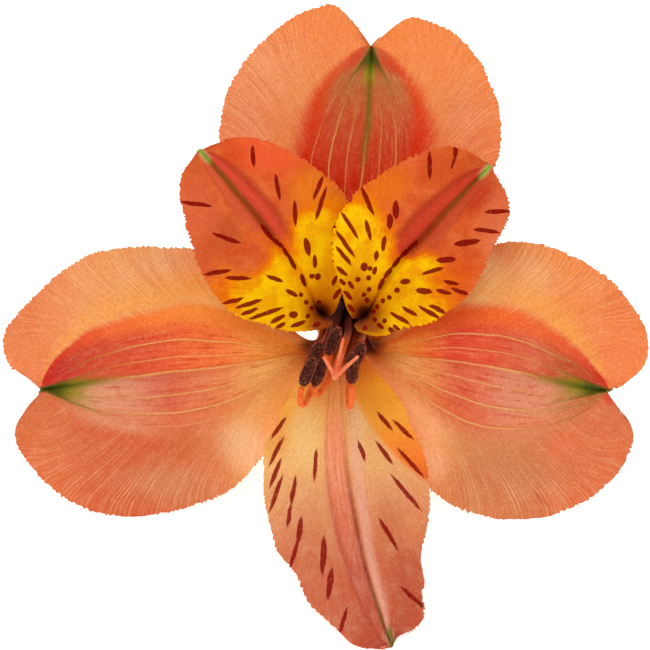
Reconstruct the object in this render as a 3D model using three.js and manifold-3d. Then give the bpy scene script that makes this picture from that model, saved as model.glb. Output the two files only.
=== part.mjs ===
// One alstroemeria bloom, picked with its own flower stalk and laid on a surface.
// It leans on the low edges of its two side tepals and on the stalk behind it, and looks up and forward.
//
// The bloom is drawn in its own frame, in millimetres: +X to the right of someone who faces it, +Y towards
// the top tepal and +Z out of the throat, with z = 0 about where the tepals spread. The whole is then
// turned so that +Z is up, and its origin is the middle of its bounding box, on the surface.

import * as THREE from 'three';
import { mergeVertices } from 'three/addons/utils/BufferGeometryUtils.js';
import Module from 'manifold-3d';

const wasm = await Module();
wasm.setup();

// ---- driving dimensions, mm and degrees ----
const lookUp = 44; // how far above the horizontal the bloom looks
const seatGap = 0.3; // between two pieces that sit on each other
const surfaceHeight = -19.55; // the surface it lies on, measured up from the bloom frame's origin

const throat = { x: 0.4, y: 2.2 }; // the tube's axis
const receptacleZ = -18.5; // top of the ovary

const tepal = { thickness: 0.7, rows: 44, columns: 3, tooth: 0.25, toothedFrom: 0.22 };
const claw = { radius: 2.5, halfAngle: 24, kneeZ: -13, kneeRadius: 2.9 };

const filament = { radius: 0.38, sides: 7, ring: 1.3 };
const anther = { halfWidth: 0.75, halfDepth: 0.6, groove: 0.22, gap: 0.4 };
const style = { radius: 0.42, sides: 8, lobeRadius: 0.27, lobeSides: 6 };

const ovary = { topRadius: 3.3, radius: 3.7, length: 7, ribs: 6, ribDepth: 0.22 };
const stalk = { radius: 1.25, sides: 12, length: 44, bend: 9, flat: 0.18 };

// ---- tepals ----
// Each tepal is a fan of ribs from claw to tip. A rib is its right edge, midrib and left edge, as seen by
// someone who looks at the inner face with the claw below. The claw itself follows from its angle.
const tepals = {
  tepal_outer_top: {
    angle: 90,
    colour: 0xe98a55,
    arch: 0.5,
    ribs: [
      [[1.9, 5, -7.6], [0, 5.6, -8], [-1.7, 5.1, -7.6]],
      [[5.7, 7.1, -5], [0.6, 8.2, -5.2], [-4.5, 7.5, -5]],
      [[10.7, 10.7, -3.6], [1.1, 11.8, -3.6], [-8.6, 11.6, -3.6]],
      [[14.9, 15.4, -2.8], [1.7, 15.7, -2.6], [-11.8, 16.3, -3]],
      [[17, 19.1, -2.2], [2.1, 19.6, -2.1], [-13.8, 20.5, -2.6]],
      [[17.5, 22.5, -1.9], [2.5, 23, -2], [-14.1, 23.7, -2.4]],
      [[17, 26.4, -2.2], [2.7, 25.8, -2.2], [-13.3, 26.8, -2.2]],
      [[15.6, 30, -2.8], [2.8, 28, -2.6], [-11.4, 30.6, -2.6]],
      [[13, 33.2, -3.6], [2.9, 30, -3], [-8.1, 34, -3.5]],
      [[9.8, 35.2, -4.2], [3, 31.2, -3.4], [-4.5, 36.4, -4.4]],
      [[7.1, 35.6, -4.3], [3, 31.8, -3.7], [-1.2, 37.1, -4.6]],
      [[4.6, 33.9, -4.1], [3, 32.1, -3.9], [1.3, 34.8, -4.2]],
    ],
    tip: [3, 32.3, -4],
  },
  tepal_outer_left: {
    angle: 210,
    colour: 0xe88c5c,
    arch: 0.6,
    ribs: [
      [[-2.75, -0.65, -8], [-3.7, -1.9, -8.5], [-2.6, -3.7, -8]],
      [[-5.1, 0, -5.6], [-6.2, -2.2, -5.8], [-3.7, -6.7, -5.6]],
      [[-7.5, 2.6, -4.4], [-9.3, -2.8, -4.2], [-6, -10.4, -4.4]],
      [[-10.7, 5.6, -3.8], [-12.7, -3.4, -3.2], [-9.3, -14, -4.2]],
      [[-14, 8, -3.4], [-16.3, -3.8, -2.6], [-12.9, -17.3, -4.8]],
      [[-17.1, 9.5, -3], [-19.9, -4.2, -2.3], [-16.9, -19.1, -5.8]],
      [[-20.8, 10, -2.6], [-23.2, -4.6, -2.2], [-20.5, -20.1, -6.6]],
      [[-24.3, 9.9, -2.5], [-26.1, -5, -2.3], [-24.2, -20.5, -7]],
      [[-27.7, 9.4, -2.8], [-28.6, -5.3, -2.6], [-27.6, -20.1, -7]],
      [[-30.9, 7.7, -3.3], [-30.4, -5.6, -3], [-30.5, -18.9, -6.7]],
      [[-33.9, 5.3, -3.8], [-31.8, -5.8, -3.4], [-33.2, -17, -6.2]],
      [[-36.5, 2.7, -4], [-32.7, -6, -3.8], [-35.5, -14.6, -5.6]],
      [[-38.3, -0.3, -4], [-33.2, -6, -4.1], [-37.1, -11.3, -5]],
      [[-37.8, -3.3, -4], [-33.6, -6.1, -4.3], [-35.9, -8.5, -4.6]],
      [[-35.5, -4.8, -4.2], [-33.8, -6.1, -4.4], [-34.6, -6.9, -4.5]],
    ],
    tip: [-33.9, -6.1, -4.4],
  },
  tepal_outer_right: {
    angle: 330,
    colour: 0xe98d5c,
    arch: 0.6,
    ribs: [
      [[2.2, -3.6, -8], [3.3, -1.7, -8.5], [2.6, -0.3, -8]],
      [[3, -6.4, -5.6], [5.7, -2, -5.8], [4.6, 1, -5.6]],
      [[4.4, -10.1, -4.4], [8.6, -2.5, -4.2], [7.1, 4.4, -4.4]],
      [[6.6, -13.7, -4.2], [11.8, -2.9, -3.2], [10.1, 7.5, -3.8]],
      [[9.6, -17.4, -4.8], [14.9, -3.4, -2.6], [13.4, 9.4, -3.4]],
      [[13, -19.6, -5.8], [18.1, -3.9, -2.3], [16.7, 10.3, -3]],
      [[16.6, -20.6, -6.6], [21, -4.6, -2.2], [20, 10.5, -2.6]],
      [[20.3, -20.7, -7], [23.3, -5.2, -2.3], [22.7, 10, -2.5]],
      [[23.9, -19.9, -7], [25.2, -5.6, -2.6], [25.5, 8.9, -2.8]],
      [[27.1, -18.6, -6.7], [26.7, -5.9, -3], [28.3, 7.4, -3.3]],
      [[29.9, -16.4, -6.2], [27.7, -6.1, -3.4], [30.8, 5.3, -3.8]],
      [[31.9, -13.7, -5.6], [28.5, -6.2, -3.8], [32.8, 2.4, -4]],
      [[32.5, -11.1, -5], [29, -6.2, -4.1], [33.9, -0.6, -4]],
      [[31.3, -9, -4.6], [29.3, -6.3, -4.3], [33.6, -3.4, -4]],
      [[30.1, -7.3, -4.5], [29.4, -6.3, -4.4], [31.7, -5.2, -4.2]],
    ],
    tip: [29.4, -6.3, -4.4],
  },
  tepal_inner_left: {
    angle: 150,
    colour: 0xe0693a,
    arch: 0.3,
    ribs: [
      [[-1.6, 2, -2.4], [-2.9, 2.5, -4.6], [-1.4, 1.35, -2.4]],
      [[-0.2, 5.6, 0.2], [-4.1, 5, -1.6], [-4.8, 0.4, -0.2]],
      [[0, 8.2, 1.4], [-5.7, 7.7, -0.2], [-8.2, 0.9, 0.8]],
      [[0.1, 10.6, 2], [-7.3, 9.9, 0.8], [-11.4, 1.9, 1.4]],
      [[0.6, 12.9, 2.6], [-8.9, 11.9, 1.8], [-14.3, 4.1, 1.9]],
      [[0.2, 15.2, 3.2], [-10.5, 13.9, 2.8], [-16.3, 7.6, 2.6]],
      [[-2.3, 17.9, 3.9], [-12, 15.6, 3.7], [-17.3, 10.8, 3.4]],
      [[-5.7, 20.2, 4.7], [-13.3, 17.2, 4.5], [-18, 13.6, 4.2]],
      [[-9.3, 21.7, 5.4], [-14.5, 18.6, 5.2], [-18.4, 15.9, 5]],
      [[-12.4, 22, 6], [-15.4, 19.7, 5.8], [-18.1, 17.9, 5.7]],
      [[-14.6, 21.3, 6.2], [-15.8, 20.2, 6.2], [-17.3, 19.3, 6.1]],
    ],
    tip: [-16.2, 20.6, 6.4],
  },
  tepal_inner_right: {
    angle: 30,
    colour: 0xe0693a,
    arch: 0.3,
    ribs: [
      [[1.05, 1.05, -2.4], [2.5, 2.1, -4.6], [0.95, 1.8, -2.4]],
      [[3.9, -0.1, -0.2], [3.8, 4.8, -1.6], [-0.2, 4.8, 1.8]],
      [[7.1, 0.9, 0.8], [5.3, 7.3, -0.2], [-1.1, 8.2, 3.4]],
      [[9.8, 1.5, 1.4], [6.6, 9.1, 0.8], [-1.2, 10.6, 4.2]],
      [[12.3, 3, 1.9], [8.1, 10.5, 1.8], [-0.6, 13.5, 4.8]],
      [[14.3, 5.3, 2.6], [9.5, 12, 2.8], [1.3, 16, 5]],
      [[15.6, 7.7, 3.4], [10.9, 13.6, 3.7], [4.1, 18, 5.2]],
      [[16.9, 10.6, 4.2], [12.3, 15, 4.5], [7.1, 19.7, 5.4]],
      [[18.2, 13.2, 5], [13.5, 16.3, 5.2], [10.3, 20.9, 5.8]],
      [[18.2, 15.1, 5.7], [14.6, 17.4, 5.8], [12.9, 20.9, 6.2]],
      [[17.2, 17.1, 6.1], [15.4, 18.2, 6.2], [14.6, 20, 6.4]],
    ],
    tip: [16.2, 18.9, 6.4],
  },
  tepal_inner_lower: {
    angle: 270,
    colour: 0xefa670,
    arch: 0.3,
    ribs: [
      [[-2.3, -1.7, -7.4], [-0.2, -1.9, -8], [1.7, -1.7, -7.4]],
      [[-4.5, -4.2, -3.4], [-0.6, -4.2, -4.6], [3.4, -4, -3.4]],
      [[-6.4, -7.1, -1.2], [-0.4, -7, -2.4], [5.8, -6.8, -1.2]],
      [[-8, -10.1, 0.2], [-0.2, -10, -0.9], [7.4, -10, 0.2]],
      [[-9.1, -13.7, 1.4], [0.1, -13.1, 0.4], [8.7, -13.2, 1.2]],
      [[-9.1, -16.9, 2.4], [0.4, -16.2, 1.6], [9.3, -16.6, 2.2]],
      [[-8.7, -20, 3.3], [0.9, -19.3, 2.8], [9.4, -19.8, 3]],
      [[-7.8, -23.2, 4.1], [1.5, -22.3, 3.9], [8.9, -22.9, 3.8]],
      [[-6.3, -25.8, 4.9], [2.1, -25.2, 4.9], [8.8, -26, 4.7]],
      [[-5, -28.2, 5.8], [2.9, -28, 5.8], [8.8, -29.1, 5.6]],
      [[-3.6, -30.3, 6.6], [3.7, -30.4, 6.7], [9, -31.2, 6.5]],
      [[-1.6, -32.1, 7.3], [4.3, -32.3, 7.4], [7.7, -32.7, 7.2]],
      [[0.6, -34.3, 7.8], [4.8, -33.6, 7.9], [6.4, -33.3, 7.8]],
      [[3.2, -34.9, 8.1], [5.1, -34.3, 8.2], [5.7, -33.8, 8.1]],
    ],
    tip: [5.2, -34.6, 8.3],
  },
};

// ---- stamens: the filament's way out of the throat, then the anther's foot and tip ----
const stamens = [
  {
    angle: 125,
    path: [[-1.2, 0.9, -8], [-1.5, -0.5, -3], [-1.7, -2.3, 1.5], [-2, -3.1, 5], [-1.95, -2.6, 6.8]],
    foot: [-1.9, -2.1, 7.5],
    tip: [-0.7, 0.9, 9.4],
  },
  {
    angle: 180,
    path: [[-2, -0.2, -8], [-2.7, -1.6, -3], [-3.2, -3.2, 1.2], [-3.9, -4.2, 3.2], [-3.85, -3.7, 4.4]],
    foot: [-3.75, -3.1, 5],
    tip: [-2.7, -0.7, 6.8],
  },
  {
    angle: 230,
    path: [
      [-1.2, -0.95, -8], [-1.9, -2.7, -3], [-3.2, -4.9, 2.2], [-3.85, -6.2, 4.8], [-4.5, -7.6, 7],
      [-4.95, -7.55, 8.4], [-4.97, -6.6, 9.3],
    ],
    foot: [-4.75, -5.6, 9.6],
    tip: [-3.5, -2.5, 11.2],
  },
  {
    angle: 280,
    path: [[-0.1, -1.1, -8], [-0.8, -3, -3], [-1.9, -5, 2.2], [-2.75, -6.3, 5.6], [-3.35, -6.5, 7.1]],
    foot: [-3.45, -5.6, 7.9],
    tip: [-2.4, -2.6, 9.6],
  },
  {
    angle: 330,
    path: [[1.1, -1, -8], [0.9, -2.6, -3], [0.5, -5.1, 2.4], [0.35, -7.4, 6], [0.6, -7.9, 8], [0.8, -6.7, 9.2]],
    foot: [0.75, -5.4, 9.7],
    tip: [0.75, -1.9, 10.8],
  },
  {
    angle: 25,
    path: [[2, 0, -8], [1.7, -0.9, -3], [1.3, -2.9, 1.6], [0.95, -4.2, 4.2], [0.85, -4, 5.3]],
    foot: [0.95, -3.4, 6.1],
    tip: [2, -0.8, 7.8],
  },
];

const stylePath = [[0.35, 0.4, -8], [0.15, -0.4, -3], [-0.45, -2.2, 2.2], [-0.95, -3.8, 7], [-1.1, -4.6, 11]];
const stigmaTips = [[-2.4, -2.4, 12.2], [-0.2, -0.3, 12.2], [1.5, -2.3, 12.9]];

// ---- helpers ----
const radians = THREE.MathUtils.degToRad;
const point = (p) => new THREE.Vector3(...p);
const around = (radius, degrees, z) => new THREE.Vector3(
  throat.x + radius * Math.cos(radians(degrees)), throat.y + radius * Math.sin(radians(degrees)), z);

function solid(geometry) {
  const bare = geometry.clone();
  bare.deleteAttribute('normal');
  bare.deleteAttribute('uv');
  const merged = mergeVertices(bare, 1e-4);
  return new wasm.Manifold(new wasm.Mesh({
    numProp: 3,
    vertProperties: new Float32Array(merged.attributes.position.array),
    triVerts: new Uint32Array(merged.index.array),
  }));
}

function geometryOf(manifold) {
  const mesh = manifold.getMesh();
  const geometry = new THREE.BufferGeometry();
  geometry.setAttribute('position', new THREE.BufferAttribute(new Float32Array(mesh.vertProperties), 3));
  geometry.setIndex(new THREE.BufferAttribute(new Uint32Array(mesh.triVerts), 1));
  return geometry;
}

function tube(points, radius, sides, steps) {
  const section = new THREE.Shape(Array.from({ length: sides }, (_, i) => new THREE.Vector2(
    radius * Math.cos((2 * Math.PI * i) / sides), radius * Math.sin((2 * Math.PI * i) / sides))));
  const extrudePath = new THREE.CatmullRomCurve3(points, false, 'centripetal');
  return new THREE.ExtrudeGeometry(section, { steps, bevelEnabled: false, extrudePath });
}

// ---- one tepal ----
function clawRibs(angle) {
  return [
    [claw.radius, receptacleZ + seatGap],
    [claw.kneeRadius, claw.kneeZ],
  ].map(([radius, z]) => [-1, 0, 1].map((side) => around(radius, angle + side * claw.halfAngle, z)));
}

// A point of the inner face: along runs from claw (0) to tip (1), across from right (-1) to left (1) edge.
function tepalFace({ angle, arch, ribs, tip }) {
  const rows = [
    ...clawRibs(angle),
    ...ribs.map((rib) => rib.map(point)),
    [point(tip), point(tip), point(tip)],
  ];
  const [right, middle, left] = [0, 1, 2].map((place) => new THREE.CatmullRomCurve3(
    rows.map((row) => row[place]), false, 'catmullrom', 0.5));
  return (along, across, reach = 0) => {
    const rib = middle.getPoint(along);
    const edge = (across < 0 ? right : left).getPoint(along);
    const share = Math.abs(across);
    const out = edge.clone().sub(rib);
    const place = rib.clone().addScaledVector(out, share).addScaledVector(out.clone().normalize(), reach);
    place.z += arch * 4 * share * (1 - share) * Math.sin(Math.PI * along);
    return place;
  };
}

function faceNormal(face, along, across) {
  const step = 0.004;
  const u = Math.min(Math.max(along, step), 0.985);
  const v = Math.min(Math.max(across, step - 1), 1 - step);
  const heading = face(u + step, v).sub(face(u - step, v));
  const sideways = face(u, v + step).sub(face(u, v - step));
  return heading.cross(sideways).normalize();
}

// A thin closed solid with the same triangles on both faces, and a fine-toothed margin.
function tepalGeometry(plan) {
  const face = tepalFace(plan);
  const { rows, columns, thickness, tooth, toothedFrom } = tepal;
  const width = 2 * columns + 1;
  const positions = [];
  const addPair = (along, across, reach) => {
    const front = face(along, across, reach);
    const back = front.clone().addScaledVector(faceNormal(face, along, across), -thickness);
    positions.push(...front.toArray(), ...back.toArray());
  };
  for (let i = 0; i < rows; i += 1) {
    const along = i / rows;
    for (let j = 0; j < width; j += 1) {
      const across = j / columns - 1;
      const isEdge = j === 0 || j === width - 1;
      const reach = isEdge && along > toothedFrom ? (i % 2 ? 0.5 : -0.5) * tooth : 0;
      addPair(along, across, reach);
    }
  }
  addPair(1, 0, 0);
  const front = (i, j) => (i === rows ? 2 * rows * width : 2 * (i * width + j));
  const triangles = [];
  const add = (a, b, c) => {
    if (a !== b && b !== c && a !== c) triangles.push(a, b, c);
  };
  for (let i = 0; i < rows; i += 1) {
    for (let j = 0; j < width - 1; j += 1) {
      const corners = [front(i, j), front(i + 1, j), front(i + 1, j + 1), front(i, j + 1)];
      const [a, b, c, d] = corners;
      const [e, f, g, h] = corners.map((corner) => corner + 1);
      add(a, b, c);
      add(a, c, d);
      add(e, g, f);
      add(e, h, g);
    }
    const [right, nextRight] = [front(i, 0), front(i + 1, 0)];
    add(right, right + 1, nextRight + 1);
    add(right, nextRight + 1, nextRight);
    const [left, nextLeft] = [front(i, width - 1), front(i + 1, width - 1)];
    add(left, nextLeft + 1, left + 1);
    add(left, nextLeft, nextLeft + 1);
  }
  for (let j = 0; j < width - 1; j += 1) {
    const [near, far] = [front(0, j), front(0, j + 1)];
    add(near, far, far + 1);
    add(near, far + 1, near + 1);
  }
  const geometry = new THREE.BufferGeometry();
  geometry.setAttribute('position', new THREE.Float32BufferAttribute(positions, 3));
  geometry.setIndex(triangles);
  return geometry;
}

// ---- stamens and style ----
function filamentGeometry({ angle, path, foot, tip }) {
  const away = point(foot).sub(point(tip)).normalize();
  const points = [
    around(filament.ring, angle, receptacleZ + seatGap),
    around(filament.ring, angle, receptacleZ + 4),
    ...path.map(point),
    point(foot).addScaledVector(away, anther.gap),
  ];
  return tube(points, filament.radius, filament.sides, 26);
}

// Two pollen sacs side by side, with a groove between them on the front.
function antherGeometry({ foot, tip }) {
  const axis = point(tip).sub(point(foot));
  const length = axis.length();
  const geometry = new THREE.SphereGeometry(1, 12, 9);
  const place = geometry.attributes.position;
  for (let i = 0; i < place.count; i += 1) {
    const [x, y, z] = [place.getX(i), place.getY(i), place.getZ(i)];
    const blunt = Math.sign(y) * (1 - (1 - Math.abs(y)) ** 1.25);
    const dip = 1 - anther.groove * Math.exp(-((x / 0.3) ** 2)) * Math.max(z, 0);
    place.setXYZ(i, x * anther.halfWidth, (blunt * length) / 2, z * anther.halfDepth * dip);
  }
  const up = axis.normalize();
  const side = new THREE.Vector3().crossVectors(up, new THREE.Vector3(0, 0, 1)).normalize();
  const turn = new THREE.Matrix4().makeBasis(side, up, new THREE.Vector3().crossVectors(side, up));
  geometry.applyMatrix4(turn);
  return geometry.translate(...point(foot).add(point(tip)).multiplyScalar(0.5).toArray());
}

function styleGeometry() {
  const top = point(stylePath.at(-1));
  const foot = [
    new THREE.Vector3(throat.x, throat.y, receptacleZ + seatGap),
    new THREE.Vector3(throat.x, throat.y, receptacleZ + 4),
  ];
  let whole = solid(tube([...foot, ...stylePath.map(point)], style.radius, style.sides, 28));
  whole = whole.add(solid(new THREE.IcosahedronGeometry(style.radius * 1.15, 1).translate(...top.toArray())));
  for (const end of stigmaTips) {
    const bow = top.clone().lerp(point(end), 0.5).add(new THREE.Vector3(0, 0, -0.25));
    whole = whole.add(solid(tube([top, bow, point(end)], style.lobeRadius, style.lobeSides, 4)));
  }
  return geometryOf(whole);
}

// ---- ovary and stalk: one growth ----
const bloomTurn = new THREE.Matrix4().makeRotationX(radians(90 - lookUp));

function ovaryGeometry() {
  const { topRadius, radius, length } = ovary;
  const profile = new THREE.SplineCurve([
    new THREE.Vector2(topRadius, receptacleZ),
    new THREE.Vector2(radius, receptacleZ - 0.3 * length),
    new THREE.Vector2(0.72 * radius, receptacleZ - 0.72 * length),
    new THREE.Vector2(stalk.radius, receptacleZ - length),
  ]).getPoints(7);
  const geometry = new THREE.LatheGeometry(
    [new THREE.Vector2(0, profile.at(-1).y), ...profile.reverse(), new THREE.Vector2(0, receptacleZ)], 24);
  const place = geometry.attributes.position;
  for (let i = 0; i < place.count; i += 1) {
    const [x, y, z] = [place.getX(i), place.getY(i), place.getZ(i)];
    const swell = 1 + (ovary.ribDepth / radius) * Math.cos(ovary.ribs * Math.atan2(z, x));
    place.setXYZ(i, x * swell, y, z * swell);
  }
  geometry.rotateX(Math.PI / 2); // the lathe's axis becomes the tube's axis
  return geometry.translate(throat.x, throat.y, 0);
}

// From the ovary's foot the stalk turns level and runs back along the surface.
function stalkPoints() {
  const foot = new THREE.Vector3(throat.x, throat.y, receptacleZ - ovary.length + 1).applyMatrix4(bloomTurn);
  const down = new THREE.Vector3(0, 0, -1).transformDirection(bloomTurn);
  const level = surfaceHeight + stalk.radius - stalk.flat;
  const turned = foot.clone().addScaledVector(down, 2);
  return [
    foot,
    turned,
    new THREE.Vector3(foot.x, turned.y + 0.45 * stalk.bend, level + 0.35),
    new THREE.Vector3(foot.x + 0.2, turned.y + stalk.bend, level),
    new THREE.Vector3(foot.x + 0.9, turned.y + 0.5 * (stalk.bend + stalk.length), level),
    new THREE.Vector3(foot.x + 2.6, turned.y + stalk.length, level),
  ];
}

const aboveSurface = solid(new THREE.BoxGeometry(200, 200, 100).translate(0, 0, surfaceHeight + 50));

function keepAboveSurface(geometry) {
  return geometryOf(solid(geometry).intersect(aboveSurface));
}

function stalkGeometry() {
  const body = solid(ovaryGeometry().applyMatrix4(bloomTurn));
  return geometryOf(body.add(solid(tube(stalkPoints(), stalk.radius, stalk.sides, 30))).intersect(aboveSurface));
}

// ---- the model ----
const flower = new THREE.Group();

function addPiece(name, geometry, colour, roughness) {
  const material = new THREE.MeshStandardMaterial({ color: colour, roughness, metalness: 0 });
  const mesh = new THREE.Mesh(geometry, material);
  mesh.name = name;
  flower.add(mesh);
}

for (const [name, plan] of Object.entries(tepals)) {
  const turned = tepalGeometry(plan).applyMatrix4(bloomTurn);
  addPiece(name, keepAboveSurface(turned), plan.colour, 0.55);
}
stamens.forEach((stamen, i) => {
  addPiece(`filament_${i + 1}`, filamentGeometry(stamen).applyMatrix4(bloomTurn), 0xe8702e, 0.5);
  addPiece(`anther_${i + 1}`, antherGeometry(stamen).applyMatrix4(bloomTurn), 0x43262b, 0.95);
});
addPiece('style', styleGeometry().applyMatrix4(bloomTurn), 0xf0744a, 0.5);
addPiece('ovary_stalk', stalkGeometry(), 0x6e8f2c, 0.55);

const box = new THREE.Box3().setFromObject(flower);
const middle = box.getCenter(new THREE.Vector3());
flower.position.set(-middle.x, -middle.y, -box.min.z);

const group = new THREE.Group();
group.add(flower);

export default group;
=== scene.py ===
import math

import bmesh
import bpy
from mathutils import Matrix, Vector, noise


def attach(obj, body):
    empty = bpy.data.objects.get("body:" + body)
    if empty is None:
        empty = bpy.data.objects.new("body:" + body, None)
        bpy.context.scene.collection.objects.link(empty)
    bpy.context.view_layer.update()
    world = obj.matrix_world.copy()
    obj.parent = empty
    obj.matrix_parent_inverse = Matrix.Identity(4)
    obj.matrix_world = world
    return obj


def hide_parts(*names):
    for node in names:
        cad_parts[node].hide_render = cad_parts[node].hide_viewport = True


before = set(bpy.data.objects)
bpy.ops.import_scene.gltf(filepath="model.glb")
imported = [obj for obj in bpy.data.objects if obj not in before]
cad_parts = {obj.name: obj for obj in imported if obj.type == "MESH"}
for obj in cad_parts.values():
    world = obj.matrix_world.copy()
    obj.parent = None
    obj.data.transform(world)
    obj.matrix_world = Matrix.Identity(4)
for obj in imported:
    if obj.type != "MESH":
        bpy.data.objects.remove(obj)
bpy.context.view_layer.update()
print("frame loaded")

# The bloom is drawn in its own millimetres: x to the right, y to the top tepal, z out of the throat.
bloom = {
    "lookUp": 44,  # degrees above the horizontal that it faces
    "place": (2.2072, -17.3146, 19.55),  # its zero in the model, mm
    "surface": -19.55,  # the surface it lies on, mm from its zero
    "throat": (0.4, 2.2),  # axis of the tube
    "receptacle": -18.5,  # top of the ovary
    "seatGap": 0.3,
    "stemRise": 3.7,  # how far filaments and style stand straight on the receptacle
}
creaseAngle = 0.9  # sharper edges than this stay sharp, radians
mm = 0.001
bloomTurn = Matrix.Rotation(math.radians(90 - bloom["lookUp"]), 4, "X")
toModel = Matrix.Scale(mm, 4) @ Matrix.Translation(bloom["place"]) @ bloomTurn


# Camera and light

shot = {
    "centre": (-2.24, 1.12),  # bloom point in the middle of the frame, mm
    "distance": 1500,
    "width": 72.8,  # mm seen across
    "sensor": 36,
    "farthest": 30,  # m that the camera can see
}


def addToScene(name, data):
    made = bpy.data.objects.new(name, data)
    bpy.context.scene.collection.objects.link(made)
    return made


def makeCamera():
    lens = bpy.data.cameras.new("camera")
    lens.sensor_width = shot["sensor"]
    lens.lens = shot["sensor"] * shot["distance"] / shot["width"]
    lens.clip_end = shot["farthest"]
    eye = addToScene("camera", lens)
    place = toModel @ Vector((*shot["centre"], shot["distance"]))
    eye.matrix_world = Matrix.Translation(place) @ bloomTurn
    bpy.context.scene.camera = eye


studio = {
    "world": (1.0, 1.0, 1.0),
    "worldStrength": 0.50,
    "softboxes": [
        # name, place (m), size (m), watts
        ("overhead", (-0.35, -0.55, 1.25), 1.0, 7.0),
        ("fill", (0.9, -0.5, 0.8), 0.9, 2.2),
        ("rim", (0.1, 1.0, 0.7), 0.8, 2.5),
    ],
    "floorTone": 0.93,
    "floorGlow": 0.62,
    "floorRoughness": 0.9,
    "floorSpecular": 0.1,
    "floorSide": 6,
}


def makeStudio():
    world = bpy.data.worlds.new("studio")
    bpy.context.scene.world = world
    world.use_nodes = True
    backdrop = world.node_tree.nodes["Background"]
    backdrop.inputs["Color"].default_value = (*studio["world"], 1)
    backdrop.inputs["Strength"].default_value = studio["worldStrength"]
    for name, place, size, watts in studio["softboxes"]:
        lamp = bpy.data.lights.new(name, "AREA")
        lamp.shape = "SQUARE"
        lamp.size = size
        lamp.energy = watts
        box = addToScene(name, lamp)
        box.location = place
        box.rotation_euler = (-Vector(place)).to_track_quat("-Z", "Y").to_euler()
    view = bpy.context.scene.view_settings
    view.view_transform = "Standard"
    view.look = "None"


def makeFloor():
    shape = bmesh.new()
    bmesh.ops.create_grid(shape, x_segments=1, y_segments=1, size=studio["floorSide"] / 2)
    mesh = bpy.data.meshes.new("floor")
    shape.to_mesh(mesh)
    shape.free()
    floor = addToScene("floor", mesh)
    paint = bpy.data.materials.new("floor_white")
    paint.use_nodes = True
    finish = paint.node_tree.nodes["Principled BSDF"]
    tone = studio["floorTone"]
    finish.inputs["Base Color"].default_value = (tone, tone, tone, 1)
    finish.inputs["Roughness"].default_value = studio["floorRoughness"]
    finish.inputs["Specular IOR Level"].default_value = studio["floorSpecular"]
    finish.inputs["Emission Color"].default_value = (1, 1, 1, 1)
    finish.inputs["Emission Strength"].default_value = studio["floorGlow"]
    mesh.materials.append(paint)


makeCamera()
makeStudio()
makeFloor()
print("camera, light and floor set")


# Shader wiring

def tint(code):
    # a colour written as on a paint card, made linear
    parts = [int(code[i:i + 2], 16) / 255 for i in (0, 2, 4)]
    return (*[p / 12.92 if p <= 0.04045 else ((p + 0.055) / 1.055) ** 2.4 for p in parts], 1)


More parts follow.
